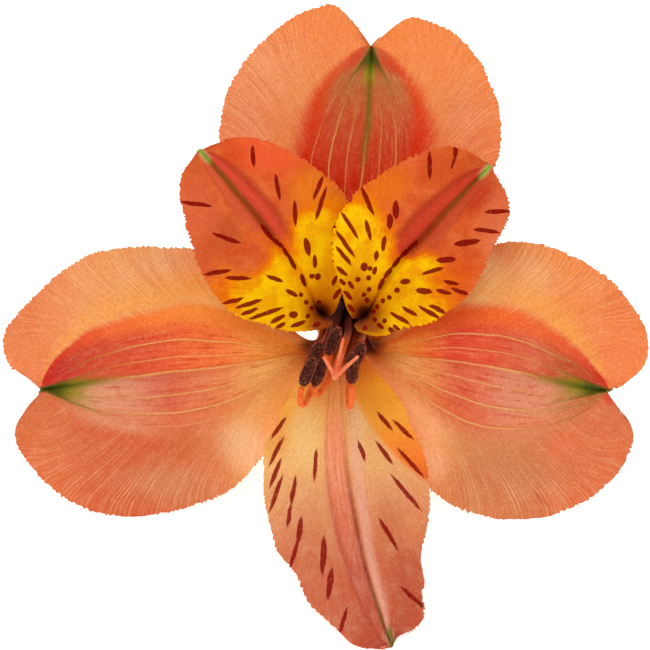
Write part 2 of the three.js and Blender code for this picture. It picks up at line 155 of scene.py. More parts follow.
class Wiring:
    # short ways to place and join the nodes of one tree

    def __init__(self, tree):
        self.tree = tree

    def place(self, kind, **settings):
        made = self.tree.nodes.new("ShaderNode" + kind)
        for name, value in settings.items():
            setattr(made, name, value)
        return made

    def feed(self, socket, value):
        if isinstance(value, bpy.types.NodeSocket):
            self.tree.links.new(value, socket)
        elif value is not None:
            socket.default_value = value

    def maths(self, operation, first, second=None, third=None):
        made = self.place("Math", operation=operation)
        for socket, value in zip(made.inputs, (first, second, third)):
            self.feed(socket, value)
        return made.outputs[0]

    def times(self, first, second):
        return self.maths("MULTIPLY", first, second)

    def plus(self, first, second):
        return self.maths("ADD", first, second)

    def minus(self, first, second):
        return self.maths("SUBTRACT", first, second)

    def over(self, first, second):
        return self.maths("DIVIDE", first, second)

    def absolute(self, value):
        return self.maths("ABSOLUTE", value)

    def scaled(self, value, factor, offset):
        return self.maths("MULTIPLY_ADD", value, factor, offset)

    def vector(self, operation, first, second=None, out="Vector"):
        made = self.place("VectorMath", operation=operation)
        self.feed(made.inputs[0], first)
        self.feed(made.inputs[1], second)
        return made.outputs[out]

    def fade(self, value, start, end, low=0.0, high=1.0):
        made = self.place("MapRange", interpolation_type="SMOOTHSTEP")
        for socket, given in zip(made.inputs, (value, start, end, low, high)):
            self.feed(socket, given)
        return made.outputs[0]

    def mix(self, share, first, second):
        made = self.place("Mix", data_type="RGBA")
        for slot, value in ((0, share), (6, first), (7, second)):
            self.feed(made.inputs[slot], value)
        return made.outputs[2]

    def coat(self, colour, code, *shares):
        # one flat colour laid over another, as far as all the shares let it
        share = shares[0]
        for other in shares[1:]:
            share = self.times(share, other)
        return self.mix(share, colour, tint(code))

    def moved(self, vector, location=None, rotation=None, scale=None, way="POINT"):
        made = self.place("Mapping", vector_type=way)
        self.feed(made.inputs["Vector"], vector)
        for name, value in (("Location", location), ("Rotation", rotation), ("Scale", scale)):
            self.feed(made.inputs[name], value)
        return made.outputs[0]

    def noise(self, vector, scale, detail=2.0, roughness=0.5, out="Fac"):
        made = self.place("TexNoise")
        self.feed(made.inputs["Vector"], vector)
        for name, value in (("Scale", scale), ("Detail", detail), ("Roughness", roughness)):
            made.inputs[name].default_value = value
        return made.outputs[out]

    def bump(self, finish, height, depth, strength):
        # raises the surface by the height, at most depth millimetres
        made = self.place("Bump")
        made.inputs["Strength"].default_value = strength
        made.inputs["Distance"].default_value = depth * mm
        self.feed(made.inputs["Height"], height)
        self.feed(finish.inputs["Normal"], made.outputs[0])

    def line(self, value, middle, width, high=1.0):
        # a soft line where the value passes the middle
        return self.fade(self.absolute(self.minus(value, middle)), width, 0.0, 0, high)

    def attribute(self, name):
        return self.place("Attribute", attribute_name=name).outputs["Fac"]

    def joined(self, x=0.0, y=0.0, z=0.0):
        made = self.place("CombineXYZ")
        for socket, value in zip(made.inputs, (x, y, z)):
            self.feed(socket, value)
        return made.outputs[0]

    def parts(self, vector):
        made = self.place("SeparateXYZ")
        self.feed(made.inputs[0], vector)
        return made.outputs

    def group(self, tree, **values):
        made = self.place("Group")
        made.node_tree = tree
        for name, value in values.items():
            self.feed(made.inputs[name], value)
        return made.outputs

    def bloomPoint(self):
        # millimetres in the bloom's own frame
        return self.moved(
            self.place("TexCoord").outputs["Object"], Vector(bloom["place"]) * mm,
            (math.radians(90 - bloom["lookUp"]), 0, 0), (mm, mm, mm), "TEXTURE")


def startGroup(name, inputs, outputs):
    tree = bpy.data.node_groups.new(name, "ShaderNodeTree")
    kinds = {"value": "NodeSocketFloat", "vector": "NodeSocketVector"}
    for label, kind, value in inputs:
        socket = tree.interface.new_socket(name=label, in_out="INPUT", socket_type=kinds[kind])
        socket.default_value = value
    for label, kind in outputs:
        tree.interface.new_socket(name=label, in_out="OUTPUT", socket_type=kinds[kind])
    wiring = Wiring(tree)
    given = tree.nodes.new("NodeGroupInput").outputs
    taken = tree.nodes.new("NodeGroupOutput").inputs
    return tree, wiring, given, taken


def makeStreakGroup():
    # distance from one streak, below 1 inside it and narrowed at both ends, and from a round dot of its size
    tree, w, given, taken = startGroup(
        "streak",
        [("Point", "vector", (0, 0, 0)), ("Middle", "vector", (0, 0, 0)),
         ("Turn", "vector", (0, 0, 0)), ("Size", "vector", (1, 1, 1000))],
        [("Streak", "value"), ("Dot", "value")])
    local = w.moved(given["Point"], given["Middle"], given["Turn"], given["Size"], "TEXTURE")
    sides = w.vector("ABSOLUTE", local)
    weights = w.vector("MAXIMUM", sides, (0, 0.75, 0))
    w.feed(taken["Streak"], w.vector("DOT_PRODUCT", sides, weights, "Value"))
    w.feed(taken["Dot"], w.vector("DOT_PRODUCT", local, local, "Value"))
    return tree


def makePatchGroup():
    # soft round or oval patch: 1 in the middle, 0 from its edge out
    tree, w, given, taken = startGroup(
        "patch",
        [("Point", "vector", (0, 0, 0)), ("Middle", "vector", (0, 0, 0)),
         ("Turn", "vector", (0, 0, 0)), ("Size", "vector", (1, 1, 1000)), ("Core", "value", 0.3)],
        [("Mask", "value")])
    local = w.moved(given["Point"], given["Middle"], given["Turn"], given["Size"], "TEXTURE")
    w.feed(taken["Mask"], w.fade(w.vector("LENGTH", local, out="Value"), 1.0, given["Core"]))
    return tree


# how far the main veins spread at each place along an outer tepal
veinSpread = [(0.0, 0.75), (0.15, 0.85), (0.3, 1.0), (0.4, 0.95), (0.5, 0.80), (0.6, 0.60), (0.7, 0.37),
              (0.8, 0.20), (0.9, 0.10), (1.0, 0.04)]


def makeVeinGroup():
    # one long vein from claw to tip: its pale line and the hollow that it lies in
    tree, w, given, taken = startGroup(
        "mainVein",
        [("Across", "value", 0), ("Along", "value", 0), ("Place", "value", 0), ("Width", "value", 0.012),
         ("From", "value", 0), ("To", "value", 1)],
        [("Mask", "value"), ("Hollow", "value")])
    away = w.absolute(w.minus(given["Across"], given["Place"]))
    start = w.fade(w.minus(given["Along"], given["From"]), 0.0, 0.06)
    end = w.fade(w.minus(given["To"], given["Along"]), 0.0, 0.10)
    there = w.times(start, end)
    w.feed(taken["Mask"], w.times(w.fade(away, given["Width"], 0.0), there))
    w.feed(taken["Hollow"], w.times(w.fade(away, w.times(given["Width"], 4.5), 0.0), there))
    return tree


hairVeins = {"pitch": 0.50, "slant": 21.0, "bend": 1.5, "drift": 0.9}


def makeHairVeinGroup():
    # fine veins that leave the middle and run out and forward to the margin
    tree, w, given, taken = startGroup(
        "hairVeins", [("Across", "value", 0), ("Run", "value", 0)],
        [("Mask", "value"), ("Tone", "value"), ("Height", "value")])
    inward = w.minus(1.0, w.absolute(given["Across"]))
    lean = w.times(w.maths("POWER", inward, hairVeins["bend"]), hairVeins["slant"])
    course = w.plus(given["Run"], lean)
    drift = w.noise(w.joined(w.times(course, 0.35), w.times(given["Across"], 3)), 1.0)
    course = w.scaled(drift, hairVeins["drift"], course)
    wave = w.maths("SINE", w.times(course, 2 * math.pi / hairVeins["pitch"]))
    patches = w.noise(w.joined(w.times(course, 1.1), w.times(given["Across"], 3), 7), 1.0)
    line = w.fade(wave, 0.70, 1.0)
    w.feed(taken["Mask"], w.times(line, w.fade(patches, 0.40, 0.66)))
    streaky = w.noise(w.joined(w.times(course, 4.6), w.times(given["Across"], 1.8), 3), 1.0, 4.0, 0.65)
    w.feed(taken["Tone"], streaky)
    w.feed(taken["Height"], w.scaled(wave, 0.5, 0.5))
    return tree


def makeCellGroup():
    # the fine cells of a petal's skin
    tree, w, given, taken = startGroup(
        "petalCells", [("Point", "vector", (0, 0, 0)), ("Size", "value", 0.16)],
        [("Tone", "value"), ("Height", "value")])
    scaled = w.vector("DIVIDE", given["Point"], w.joined(given["Size"], given["Size"], given["Size"]))
    cells = w.place("TexVoronoi")
    w.feed(cells.inputs["Vector"], scaled)
    cells.inputs["Scale"].default_value = 1.0
    w.feed(taken["Height"], w.fade(cells.outputs["Distance"], 0.75, 0.0))
    w.feed(taken["Tone"], w.noise(given["Point"], 0.6, 4.0, 0.6))
    return tree


effects = {
    "streak": makeStreakGroup(),
    "patch": makePatchGroup(),
    "mainVein": makeVeinGroup(),
    "hairVeins": makeHairVeinGroup(),
    "cells": makeCellGroup(),
}
print("shader groups built")


# Tepals: each a fan of ribs from claw to tip. A rib is its right edge, midrib and left edge, seen with the
# claw below.

claw = {"radius": 2.5, "halfAngle": 24, "kneeZ": -13, "kneeRadius": 2.9}
tepals = {
    "tepal_outer_top": {
        "angle": 90, "arch": 0.5, "tip": (3, 32.3, -4),
        "ribs": [
            ((1.9, 5, -7.6), (0, 5.6, -8), (-1.7, 5.1, -7.6)),
            ((5.7, 7.1, -5), (0.6, 8.2, -5.2), (-4.5, 7.5, -5)),
            ((10.7, 10.7, -3.6), (1.1, 11.8, -3.6), (-8.6, 11.6, -3.6)),
            ((14.9, 15.4, -2.8), (1.7, 15.7, -2.6), (-11.8, 16.3, -3)),
            ((17, 19.1, -2.2), (2.1, 19.6, -2.1), (-13.8, 20.5, -2.6)),
            ((17.5, 22.5, -1.9), (2.5, 23, -2), (-14.1, 23.7, -2.4)),
            ((17, 26.4, -2.2), (2.7, 25.8, -2.2), (-13.3, 26.8, -2.2)),
            ((15.6, 30, -2.8), (2.8, 28, -2.6), (-11.4, 30.6, -2.6)),
            ((13, 33.2, -3.6), (2.9, 30, -3), (-8.1, 34, -3.5)),
            ((9.8, 35.2, -4.2), (3, 31.2, -3.4), (-4.5, 36.4, -4.4)),
            ((7.1, 35.6, -4.3), (3, 31.8, -3.7), (-1.2, 37.1, -4.6)),
            ((4.6, 33.9, -4.1), (3, 32.1, -3.9), (1.3, 34.8, -4.2)),
        ],
    },
    "tepal_outer_left": {
        "angle": 210, "arch": 0.6, "tip": (-33.9, -6.1, -4.4),
        "ribs": [
            ((-2.75, -0.65, -8), (-3.7, -1.9, -8.5), (-2.6, -3.7, -8)),
            ((-5.1, 0, -5.6), (-6.2, -2.2, -5.8), (-3.7, -6.7, -5.6)),
            ((-7.5, 2.6, -4.4), (-9.3, -2.8, -4.2), (-6, -10.4, -4.4)),
            ((-10.7, 5.6, -3.8), (-12.7, -3.4, -3.2), (-9.3, -14, -4.2)),
            ((-14, 8, -3.4), (-16.3, -3.8, -2.6), (-12.9, -17.3, -4.8)),
            ((-17.1, 9.5, -3), (-19.9, -4.2, -2.3), (-16.9, -19.1, -5.8)),
            ((-20.8, 10, -2.6), (-23.2, -4.6, -2.2), (-20.5, -20.1, -6.6)),
            ((-24.3, 9.9, -2.5), (-26.1, -5, -2.3), (-24.2, -20.5, -7)),
            ((-27.7, 9.4, -2.8), (-28.6, -5.3, -2.6), (-27.6, -20.1, -7)),
            ((-30.9, 7.7, -3.3), (-30.4, -5.6, -3), (-30.5, -18.9, -6.7)),
            ((-33.9, 5.3, -3.8), (-31.8, -5.8, -3.4), (-33.2, -17, -6.2)),
            ((-36.5, 2.7, -4), (-32.7, -6, -3.8), (-35.5, -14.6, -5.6)),
            ((-38.3, -0.3, -4), (-33.2, -6, -4.1), (-37.1, -11.3, -5)),
            ((-37.8, -3.3, -4), (-33.6, -6.1, -4.3), (-35.9, -8.5, -4.6)),
            ((-35.5, -4.8, -4.2), (-33.8, -6.1, -4.4), (-34.6, -6.9, -4.5)),
        ],
    },
    "tepal_outer_right": {
        "angle": 330, "arch": 0.6, "tip": (29.4, -6.3, -4.4),
        "ribs": [
            ((2.2, -3.6, -8), (3.3, -1.7, -8.5), (2.6, -0.3, -8)),
            ((3, -6.4, -5.6), (5.7, -2, -5.8), (4.6, 1, -5.6)),
            ((4.4, -10.1, -4.4), (8.6, -2.5, -4.2), (7.1, 4.4, -4.4)),
            ((6.6, -13.7, -4.2), (11.8, -2.9, -3.2), (10.1, 7.5, -3.8)),
            ((9.6, -17.4, -4.8), (14.9, -3.4, -2.6), (13.4, 9.4, -3.4)),
            ((13, -19.6, -5.8), (18.1, -3.9, -2.3), (16.7, 10.3, -3)),
            ((16.6, -20.6, -6.6), (21, -4.6, -2.2), (20, 10.5, -2.6)),
            ((20.3, -20.7, -7), (23.3, -5.2, -2.3), (22.7, 10, -2.5)),
            ((23.9, -19.9, -7), (25.2, -5.6, -2.6), (25.5, 8.9, -2.8)),
            ((27.1, -18.6, -6.7), (26.7, -5.9, -3), (28.3, 7.4, -3.3)),
            ((29.9, -16.4, -6.2), (27.7, -6.1, -3.4), (30.8, 5.3, -3.8)),
            ((31.9, -13.7, -5.6), (28.5, -6.2, -3.8), (32.8, 2.4, -4)),
            ((32.5, -11.1, -5), (29, -6.2, -4.1), (33.9, -0.6, -4)),
            ((31.3, -9, -4.6), (29.3, -6.3, -4.3), (33.6, -3.4, -4)),
            ((30.1, -7.3, -4.5), (29.4, -6.3, -4.4), (31.7, -5.2, -4.2)),
        ],
    },
    "tepal_inner_left": {
        "teeth": 1.25, "angle": 150, "arch": 0.3, "tip": (-16.2, 20.6, 6.4),
        "ribs": [
            ((-1.6, 2, -2.4), (-2.9, 2.5, -4.6), (-1.4, 1.35, -2.4)),
            ((-0.2, 5.6, 0.2), (-4.1, 5, -1.6), (-4.8, 0.4, -0.2)),
            ((0, 8.2, 1.4), (-5.7, 7.7, -0.2), (-8.2, 0.9, 0.8)),
            ((0.1, 10.6, 2), (-7.3, 9.9, 0.8), (-11.4, 1.9, 1.4)),
            ((0.6, 12.9, 2.6), (-8.9, 11.9, 1.8), (-14.3, 4.1, 1.9)),
            ((0.2, 15.2, 3.2), (-10.5, 13.9, 2.8), (-16.3, 7.6, 2.6)),
            ((-2.3, 17.9, 3.9), (-12, 15.6, 3.7), (-17.3, 10.8, 3.4)),
            ((-5.7, 20.2, 4.7), (-13.3, 17.2, 4.5), (-18, 13.6, 4.2)),
            ((-9.3, 21.7, 5.4), (-14.5, 18.6, 5.2), (-18.4, 15.9, 5)),
            ((-12.4, 22, 6), (-15.4, 19.7, 5.8), (-18.1, 17.9, 5.7)),
            ((-14.6, 21.3, 6.2), (-15.8, 20.2, 6.2), (-17.3, 19.3, 6.1)),
        ],
    },
    "tepal_inner_right": {
        "teeth": 1.25, "angle": 30, "arch": 0.3, "tip": (16.2, 18.9, 6.4),
        "ribs": [
            ((1.05, 1.05, -2.4), (2.5, 2.1, -4.6), (0.95, 1.8, -2.4)),
            ((3.9, -0.1, -0.2), (3.8, 4.8, -1.6), (-0.2, 4.8, 1.8)),
            ((7.1, 0.9, 0.8), (5.3, 7.3, -0.2), (-1.1, 8.2, 3.4)),
            ((9.8, 1.5, 1.4), (6.6, 9.1, 0.8), (-1.2, 10.6, 4.2)),
            ((12.3, 3, 1.9), (8.1, 10.5, 1.8), (-0.6, 13.5, 4.8)),
            ((14.3, 5.3, 2.6), (9.5, 12, 2.8), (1.3, 16, 5)),
            ((15.6, 7.7, 3.4), (10.9, 13.6, 3.7), (4.1, 18, 5.2)),
            ((16.9, 10.6, 4.2), (12.3, 15, 4.5), (7.1, 19.7, 5.4)),
            ((18.2, 13.2, 5), (13.5, 16.3, 5.2), (10.3, 20.9, 5.8)),
            ((18.2, 15.1, 5.7), (14.6, 17.4, 5.8), (12.9, 20.9, 6.2)),
            ((17.2, 17.1, 6.1), (15.4, 18.2, 6.2), (14.6, 20, 6.4)),
        ],
    },
    "tepal_inner_lower": {
        "scallops": 1.9, "teeth": 0.6,
        "angle": 270, "arch": 0.3, "tip": (5.2, -34.6, 8.3),
        "ribs": [
            ((-2.3, -1.7, -7.4), (-0.2, -1.9, -8), (1.7, -1.7, -7.4)),
            ((-4.5, -4.2, -3.4), (-0.6, -4.2, -4.6), (3.4, -4, -3.4)),
            ((-6.4, -7.1, -1.2), (-0.4, -7, -2.4), (5.8, -6.8, -1.2)),
            ((-8, -10.1, 0.2), (-0.2, -10, -0.9), (7.4, -10, 0.2)),
            ((-9.1, -13.7, 1.4), (0.1, -13.1, 0.4), (8.7, -13.2, 1.2)),
            ((-9.1, -16.9, 2.4), (0.4, -16.2, 1.6), (9.3, -16.6, 2.2)),
            ((-8.7, -20, 3.3), (0.9, -19.3, 2.8), (9.4, -19.8, 3)),
            ((-7.8, -23.2, 4.1), (1.5, -22.3, 3.9), (8.9, -22.9, 3.8)),
            ((-6.3, -25.8, 4.9), (2.1, -25.2, 4.9), (8.8, -26, 4.7)),
            ((-5, -28.2, 5.8), (2.9, -28, 5.8), (8.8, -29.1, 5.6)),
            ((-3.6, -30.3, 6.6), (3.7, -30.4, 6.7), (9, -31.2, 6.5)),
            ((-1.6, -32.1, 7.3), (4.3, -32.3, 7.4), (7.7, -32.7, 7.2)),
            ((0.6, -34.3, 7.8), (4.8, -33.6, 7.9), (6.4, -33.3, 7.8)),
            ((3.2, -34.9, 8.1), (5.1, -34.3, 8.2), (5.7, -33.8, 8.1)),
        ],
    },
}
blade = {
    "rows": 520,
    "columns": 44,
    "thickness": 0.42,  # mm in the middle
    "marginThickness": 0.5,  # share of that at the margin
    "leastThickness": 0.02,  # share of it that is always kept
    "toothPitch": 0.72,  # mm
    "toothDepth": 0.36,
    "toothLean": 0.72,  # share of each tooth that rises
    "toothedFrom": 0.2,  # of the way from claw to tip
    "toothedTo": 0.995,
    "wavePitch": 3.4,
    "waveDepth": 0.28,
    "flutter": 0.35,  # how far the margin waves up and down, mm
    "clearance": 0.02,  # above the surface it lies on, mm
    "weld": 1e-4,  # points closer than this become one, mm
}


def around(radius, degrees, z):
    turn = math.radians(degrees)
    x, y = bloom["throat"]
    return Vector((x + radius * math.cos(turn), y + radius * math.sin(turn), z))


def spline(points, share):
    # an even curve through the points, as the CAD source draws it
    spans = len(points) - 1
    place = min(max(share, 0.0), 1.0) * spans
    first = min(int(place), spans - 1)
    t = place - first
    start, end = points[first], points[first + 1]
    before = points[first - 1] if first else 2 * start - end
    after = points[first + 2] if first + 2 <= spans else 2 * end - start
    leave, arrive = (end - before) / 2, (after - start) / 2
    return (start + leave * t + (3 * (end - start) - 2 * leave - arrive) * t * t
            + (2 * (start - end) + leave + arrive) * t ** 3)


def tepalRails(plan):
    # right edge, midrib and left edge as lists of points
    foot = bloom["receptacle"] + bloom["seatGap"]
    rows = [[around(radius, plan["angle"] + side * claw["halfAngle"], z) for side in (-1, 0, 1)]
            for radius, z in ((claw["radius"], foot), (claw["kneeRadius"], claw["kneeZ"]))]
    rows += [[Vector(p) for p in rib] for rib in plan["ribs"]]
    rows.append([Vector(plan["tip"])] * 3)
    return list(zip(*rows))


def evenSteps(rails, count):
    # places along the tepal that are evenly spaced on its margins, with each margin's length so far
    fine = 900
    samples = []
    runs = [0.0, 0.0]
    last = None
    for i in range(fine + 1):
        points = [spline(rails[k], i / fine) for k in (0, 2)]
        if last:
            runs = [run + (a - b).length for run, a, b in zip(runs, points, last)]
        last = points
        samples.append((i / fine, runs[0], runs[1]))
    total = samples[-1][1] + samples[-1][2]
    steps, k = [], 0
    for i in range(count + 1):
        goal = total * i / count
        while k < fine - 1 and samples[k + 1][1] + samples[k + 1][2] < goal:
            k += 1
        (u0, r0, l0), (u1, r1, l1) = samples[k], samples[k + 1]
        t = min(max((goal - r0 - l0) / max(r1 + l1 - r0 - l0, 1e-9), 0), 1)
        steps.append((u0 + (u1 - u0) * t, r0 + (r1 - r0) * t, l0 + (l1 - l0) * t))
    return steps


def toothReach(along, run, seed, scallops, teeth):
    # how far the margin stands out at this length of it: small forward teeth on slow scallops
    if not blade["toothedFrom"] <= along <= blade["toothedTo"]:
        return 0.0
    lean = blade["toothLean"]
    wander = noise.noise(Vector((run * 0.9, seed, 0)))
    phase = (run / blade["toothPitch"] + 1.5 * wander) % 1
    tooth = phase / lean if phase < lean else (1 - phase) / (1 - lean)
    size = max(0.7 + 1.1 * noise.noise(Vector((run * 1.1, seed, 5))), 0.1)
    scallop = noise.noise(Vector((run / blade["wavePitch"], seed, 9)))
    grown = min((along - blade["toothedFrom"]) / 0.1, (blade["toothedTo"] - along) / 0.05, 1)
    return grown * (blade["toothDepth"] * teeth * size * (tooth - 0.5)
                    + blade["waveDepth"] * scallops * scallop)


def bump(value, width):
    return math.exp(-((value / width) ** 2))


def smooth(value):
    value = min(max(value, 0.0), 1.0)
    return value * value * (3 - 2 * value)


def spreadAt(along):
    for (u0, h0), (u1, h1) in zip(veinSpread, veinSpread[1:]):
        if along <= u1:
            return h0 + (h1 - h0) * (along - u0) / (u1 - u0)
    return veinSpread[-1][1]


# Each ridge or hollow is its place across, its half width and its height in mm.
innerFolds = [(0.01, 0.05, -0.34), (0.14, 0.08, 0.24), (-0.13, 0.09, 0.14)]
innerVeins = [(place, 0.025, -0.04) for place in (0.3, 0.45, 0.6, 0.75)]
lowerBands = [(-0.12, 0.07, 0.20), (0.12, 0.07, 0.12)]
lowerVeins = [(place, 0.022, -0.05) for place in (0.4, 0.52, 0.64, 0.76)]


def furrows(across, lines):
    return sum(height * bump(across - place, width) for place, width, height in lines)


def fanNoise(run, away, pitch, spread, seed):
    # unevenness that follows the hairline veins out to the margin
    course = run + hairVeins["slant"] * (1 - away) ** hairVeins["bend"]
    return noise.noise(Vector((course * pitch, away * spread, seed)))


def outerRelief(look, along, across, run, width, seed):
    # sunken main veins, softly pleated between them, and a waved blade
    a = abs(across)
    n = across / spreadAt(along)
    inWedge = smooth((0.62 - abs(n)) / 0.2)
    grown = smooth((along - 0.12) / 0.2) * min(width / 9, 1)
    veins = sum(bump(n - vein[0], 0.03) for vein in look["veins"])
    keel = -0.24 * bump(n, 0.045) * smooth(along / 0.4)
    pleats = 0.05 * inWedge - 0.12 * veins + 0.14 * inWedge * bump(abs(n) - 0.3, 0.22)
    slow = noise.noise(Vector((run * 0.09, across * 1.6, seed)))
    fan = fanNoise(run, a, 0.5, 0.9, seed + 3)
    fine = fanNoise(run, a, 1.7, 1.1, seed + 8)
    lobes = 0.45 * slow * a + (0.14 * fan + 0.035 * fine) * smooth((a - 0.25) / 0.4)
    return grown * (keel + pleats + lobes)


def innerRelief(look, along, across, run, width, seed):
    # a channel down the midrib, its banks raised, and a few soft folds
    a = abs(across)
    n = (across - look["groove"]) * look["darkSide"]
    grown = smooth((along - 0.12) / 0.25) * min((1 - along) / 0.12, 1)
    sunk = furrows(n, innerFolds) + furrows(a, innerVeins)
    slow = noise.noise(Vector((run * 0.12, across * 1.8, seed)))
    fan = fanNoise(run, a, 0.6, 1.0, seed + 3)
    return grown * (sunk + 0.3 * slow * a + 0.09 * fan * a)


def lowerRelief(look, along, across, run, width, seed):
    # two folds that run to the tip, the band between them raised
    a = abs(across)
    grown = smooth((along - 0.1) / 0.25) * min((1 - along) / 0.06, 1)
    deeper = 0.35 + 0.65 * smooth((along - 0.3) / 0.4)
    sunk = deeper * furrows(across, look["folds"]) + furrows(across, lowerBands) + furrows(a, lowerVeins)
    slow = noise.noise(Vector((run * 0.1, across * 1.6, seed)))
    fan = fanNoise(run, a, 0.6, 1.0, seed + 3)
    return grown * (sunk + 0.35 * slow * a + 0.10 * fan * a)


def growTepal(name, plan, look, relief, seed):
    rails = tepalRails(plan)
    steps = evenSteps(rails, blade["rows"])
    shape = bmesh.new()
    bmesh.ops.create_grid(shape, x_segments=blade["rows"], y_segments=blade["columns"], size=1)
    layers = {key: shape.verts.layers.float.new(key) for key in ("along", "across", "run")}
    rowPoints, widths = {}, {}
    for vert in shape.verts:
        row = round((vert.co.x + 1) / 2 * blade["rows"])
        across = vert.co.y
        if row not in rowPoints:
            rowPoints[row] = [spline(rail, steps[row][0]) for rail in rails]
        along = steps[row][0]
        right, middle, left = rowPoints[row]
        run = steps[row][1] if across < 0 else steps[row][2]
        out = (right if across < 0 else left) - middle
        share = abs(across)
        place = middle + out * share
        isMargin = share > 0.999
        if isMargin:
            place += out.normalized() * toothReach(
                along, run, seed + across, plan.get("scallops", 1), plan.get("teeth", 1))
        place.z += plan["arch"] * 4 * share * (1 - share) * math.sin(math.pi * along)
        vert[layers["along"]], vert[layers["across"]], vert[layers["run"]] = along, across, run
        vert.co = place
        widths[vert] = out.length
    shape.normal_update()
    moves = []
    for vert in shape.verts:
        along, across, run = (vert[layers[key]] for key in ("along", "across", "run"))
        moves.append((vert, vert.normal * relief(look, along, across, run, widths[vert], seed)))
    for vert, move in moves:
        vert.co += move
    for vert in shape.verts:
        margin = smooth((abs(vert[layers["across"]]) - 0.6) / 0.4)
        wave = noise.noise(Vector((vert[layers["run"]] * 0.28, seed * 3.1, vert[layers["across"]])))
        vert.co.z += blade["flutter"] * margin * wave
    bmesh.ops.remove_doubles(shape, verts=shape.verts, dist=blade["weld"])
    bmesh.ops.recalc_face_normals(shape, faces=shape.faces)
    facing = sum((face.normal * face.calc_area() for face in shape.faces), Vector())
    if facing.z < 0:
        bmesh.ops.reverse_faces(shape, faces=shape.faces)
    bmesh.ops.transform(shape, matrix=toModel, verts=shape.verts)
    mesh = bpy.data.meshes.new(name)
    shape.to_mesh(mesh)
    shape.free()
    return mesh


def smoothFaces(shape):
    for face in shape.faces:
        face.smooth = True
    for edge in shape.edges:
        edge.smooth = edge.calc_face_angle(0) < creaseAngle


def thicken(name, mesh):
    # gives the blade its back and its thin margin, then lets nothing sink into the surface it lies on
    piece = addToScene(name, mesh)
    thin = piece.vertex_groups.new(name="thin")
    across = mesh.attributes["across"].data
    for i in range(len(mesh.vertices)):
        outer = smooth((abs(across[i].value) - 0.5) / 0.5)
        thin.add([i], 1 - (1 - blade["marginThickness"]) * outer, "REPLACE")
    wall = piece.modifiers.new("wall", "SOLIDIFY")
    wall.thickness = blade["thickness"] * mm
    wall.offset = -1
    wall.vertex_group = "thin"
    wall.thickness_vertex_group = blade["leastThickness"]
    wall.material_offset = 1
    wall.material_offset_rim = 0
    settled = bpy.data.meshes.new_from_object(piece.evaluated_get(bpy.context.evaluated_depsgraph_get()))
    piece.modifiers.clear()
    piece.vertex_groups.clear()
    piece.data = settled
    settled.name = name
    shape = bmesh.new()
    shape.from_mesh(settled)
    for vert in shape.verts:
        vert.co.z = max(vert.co.z, blade["clearance"] * mm)
    smoothFaces(shape)
    shape.to_mesh(settled)
    shape.free()
    return piece


# Tepal paint

skin = {
    "roughness": 0.55, "specular": 0.04, "reliefDepth": 0.06, "reliefStrength": 0.5, "hairShare": 0.34,
    "speckle": 0.18, "innerSpeckle": 0.12, "backVeil": 0.32,
    "saturation": 1.005, "innerSaturation": 1.018, "value": 1.06,
    "streakRed": "820000", "lowerStreakRed": "8E0000", "throatBrownAndShade": "3A180E",
}
mainVein = {"width": 0.0095, "midribWidth": 0.013, "strength": 0.78, "hollowShadeStrength": 0.20}
streakWidth = 0.3  # half the width of a streak or dot that gives none of its own, mm


def startPaint(name, roughness):
    paint = bpy.data.materials.new(name)
    paint.use_nodes = True
    finish = paint.node_tree.nodes["Principled BSDF"]
    finish.inputs["Roughness"].default_value = roughness
    finish.inputs["Specular IOR Level"].default_value = skin["specular"]
    return paint, Wiring(paint.node_tree), finish


def ramp(w, value, stops):
    # colours, or plain shares, that change with the value
    made = w.place("ValToRGB")
    scale = made.color_ramp
    while len(scale.elements) < len(stops):
        scale.elements.new(0.5)
    for element, (place, given) in zip(scale.elements, stops):
        element.position = place
        element.color = tint(given) if isinstance(given, str) else (given, given, given, 1)
    w.feed(made.inputs[0], value)
    return made.outputs[0]


def patchMask(w, point, middle, size, turn=0, core=0.2):
    return w.group(effects["patch"], Point=point, Middle=(*middle, 0), Size=(*size, 1000),
                   Turn=(0, 0, math.radians(turn)), Core=core)["Mask"]


def layPatches(w, colour, point, patches):
    # soft patches of colour: middle, size, turn, colour, strength and, if sharp, how far its core goes
    for middle, size, turn, code, strength, *core in patches:
        mask = patchMask(w, point, middle, size, turn, *core)
        colour = w.coat(colour, code, mask, strength)
    return colour


def streakMask(w, point, streaks, soft, slim):
    wander = w.noise(point, 1.1, out="Color")
    push = w.vector("MULTIPLY", w.vector("SUBTRACT", wander, (0.5, 0.5, 0.5)), (0.26, 0.26, 0))
    shaken = w.vector("ADD", point, push)
    nearest = None
    for x0, y0, x1, y1, *own in streaks:
        width = own[0] if own else streakWidth
        half = math.hypot(x1 - x0, y1 - y0) / 2
        turn = math.atan2(y1 - y0, x1 - x0)
        isDot = half < 1.4 * width
        size = (half * 1.15, width, 1000) if isDot else (half * 1.1, width * slim, 1000)
        distance = w.group(effects["streak"], Point=shaken, Middle=((x0 + x1) / 2, (y0 + y1) / 2, 0),
                           Turn=(0, 0, turn), Size=size)["Dot" if isDot else "Streak"]
        nearest = distance if nearest is None else w.maths("MINIMUM", nearest, distance)
    return w.fade(nearest, 1.12, soft)


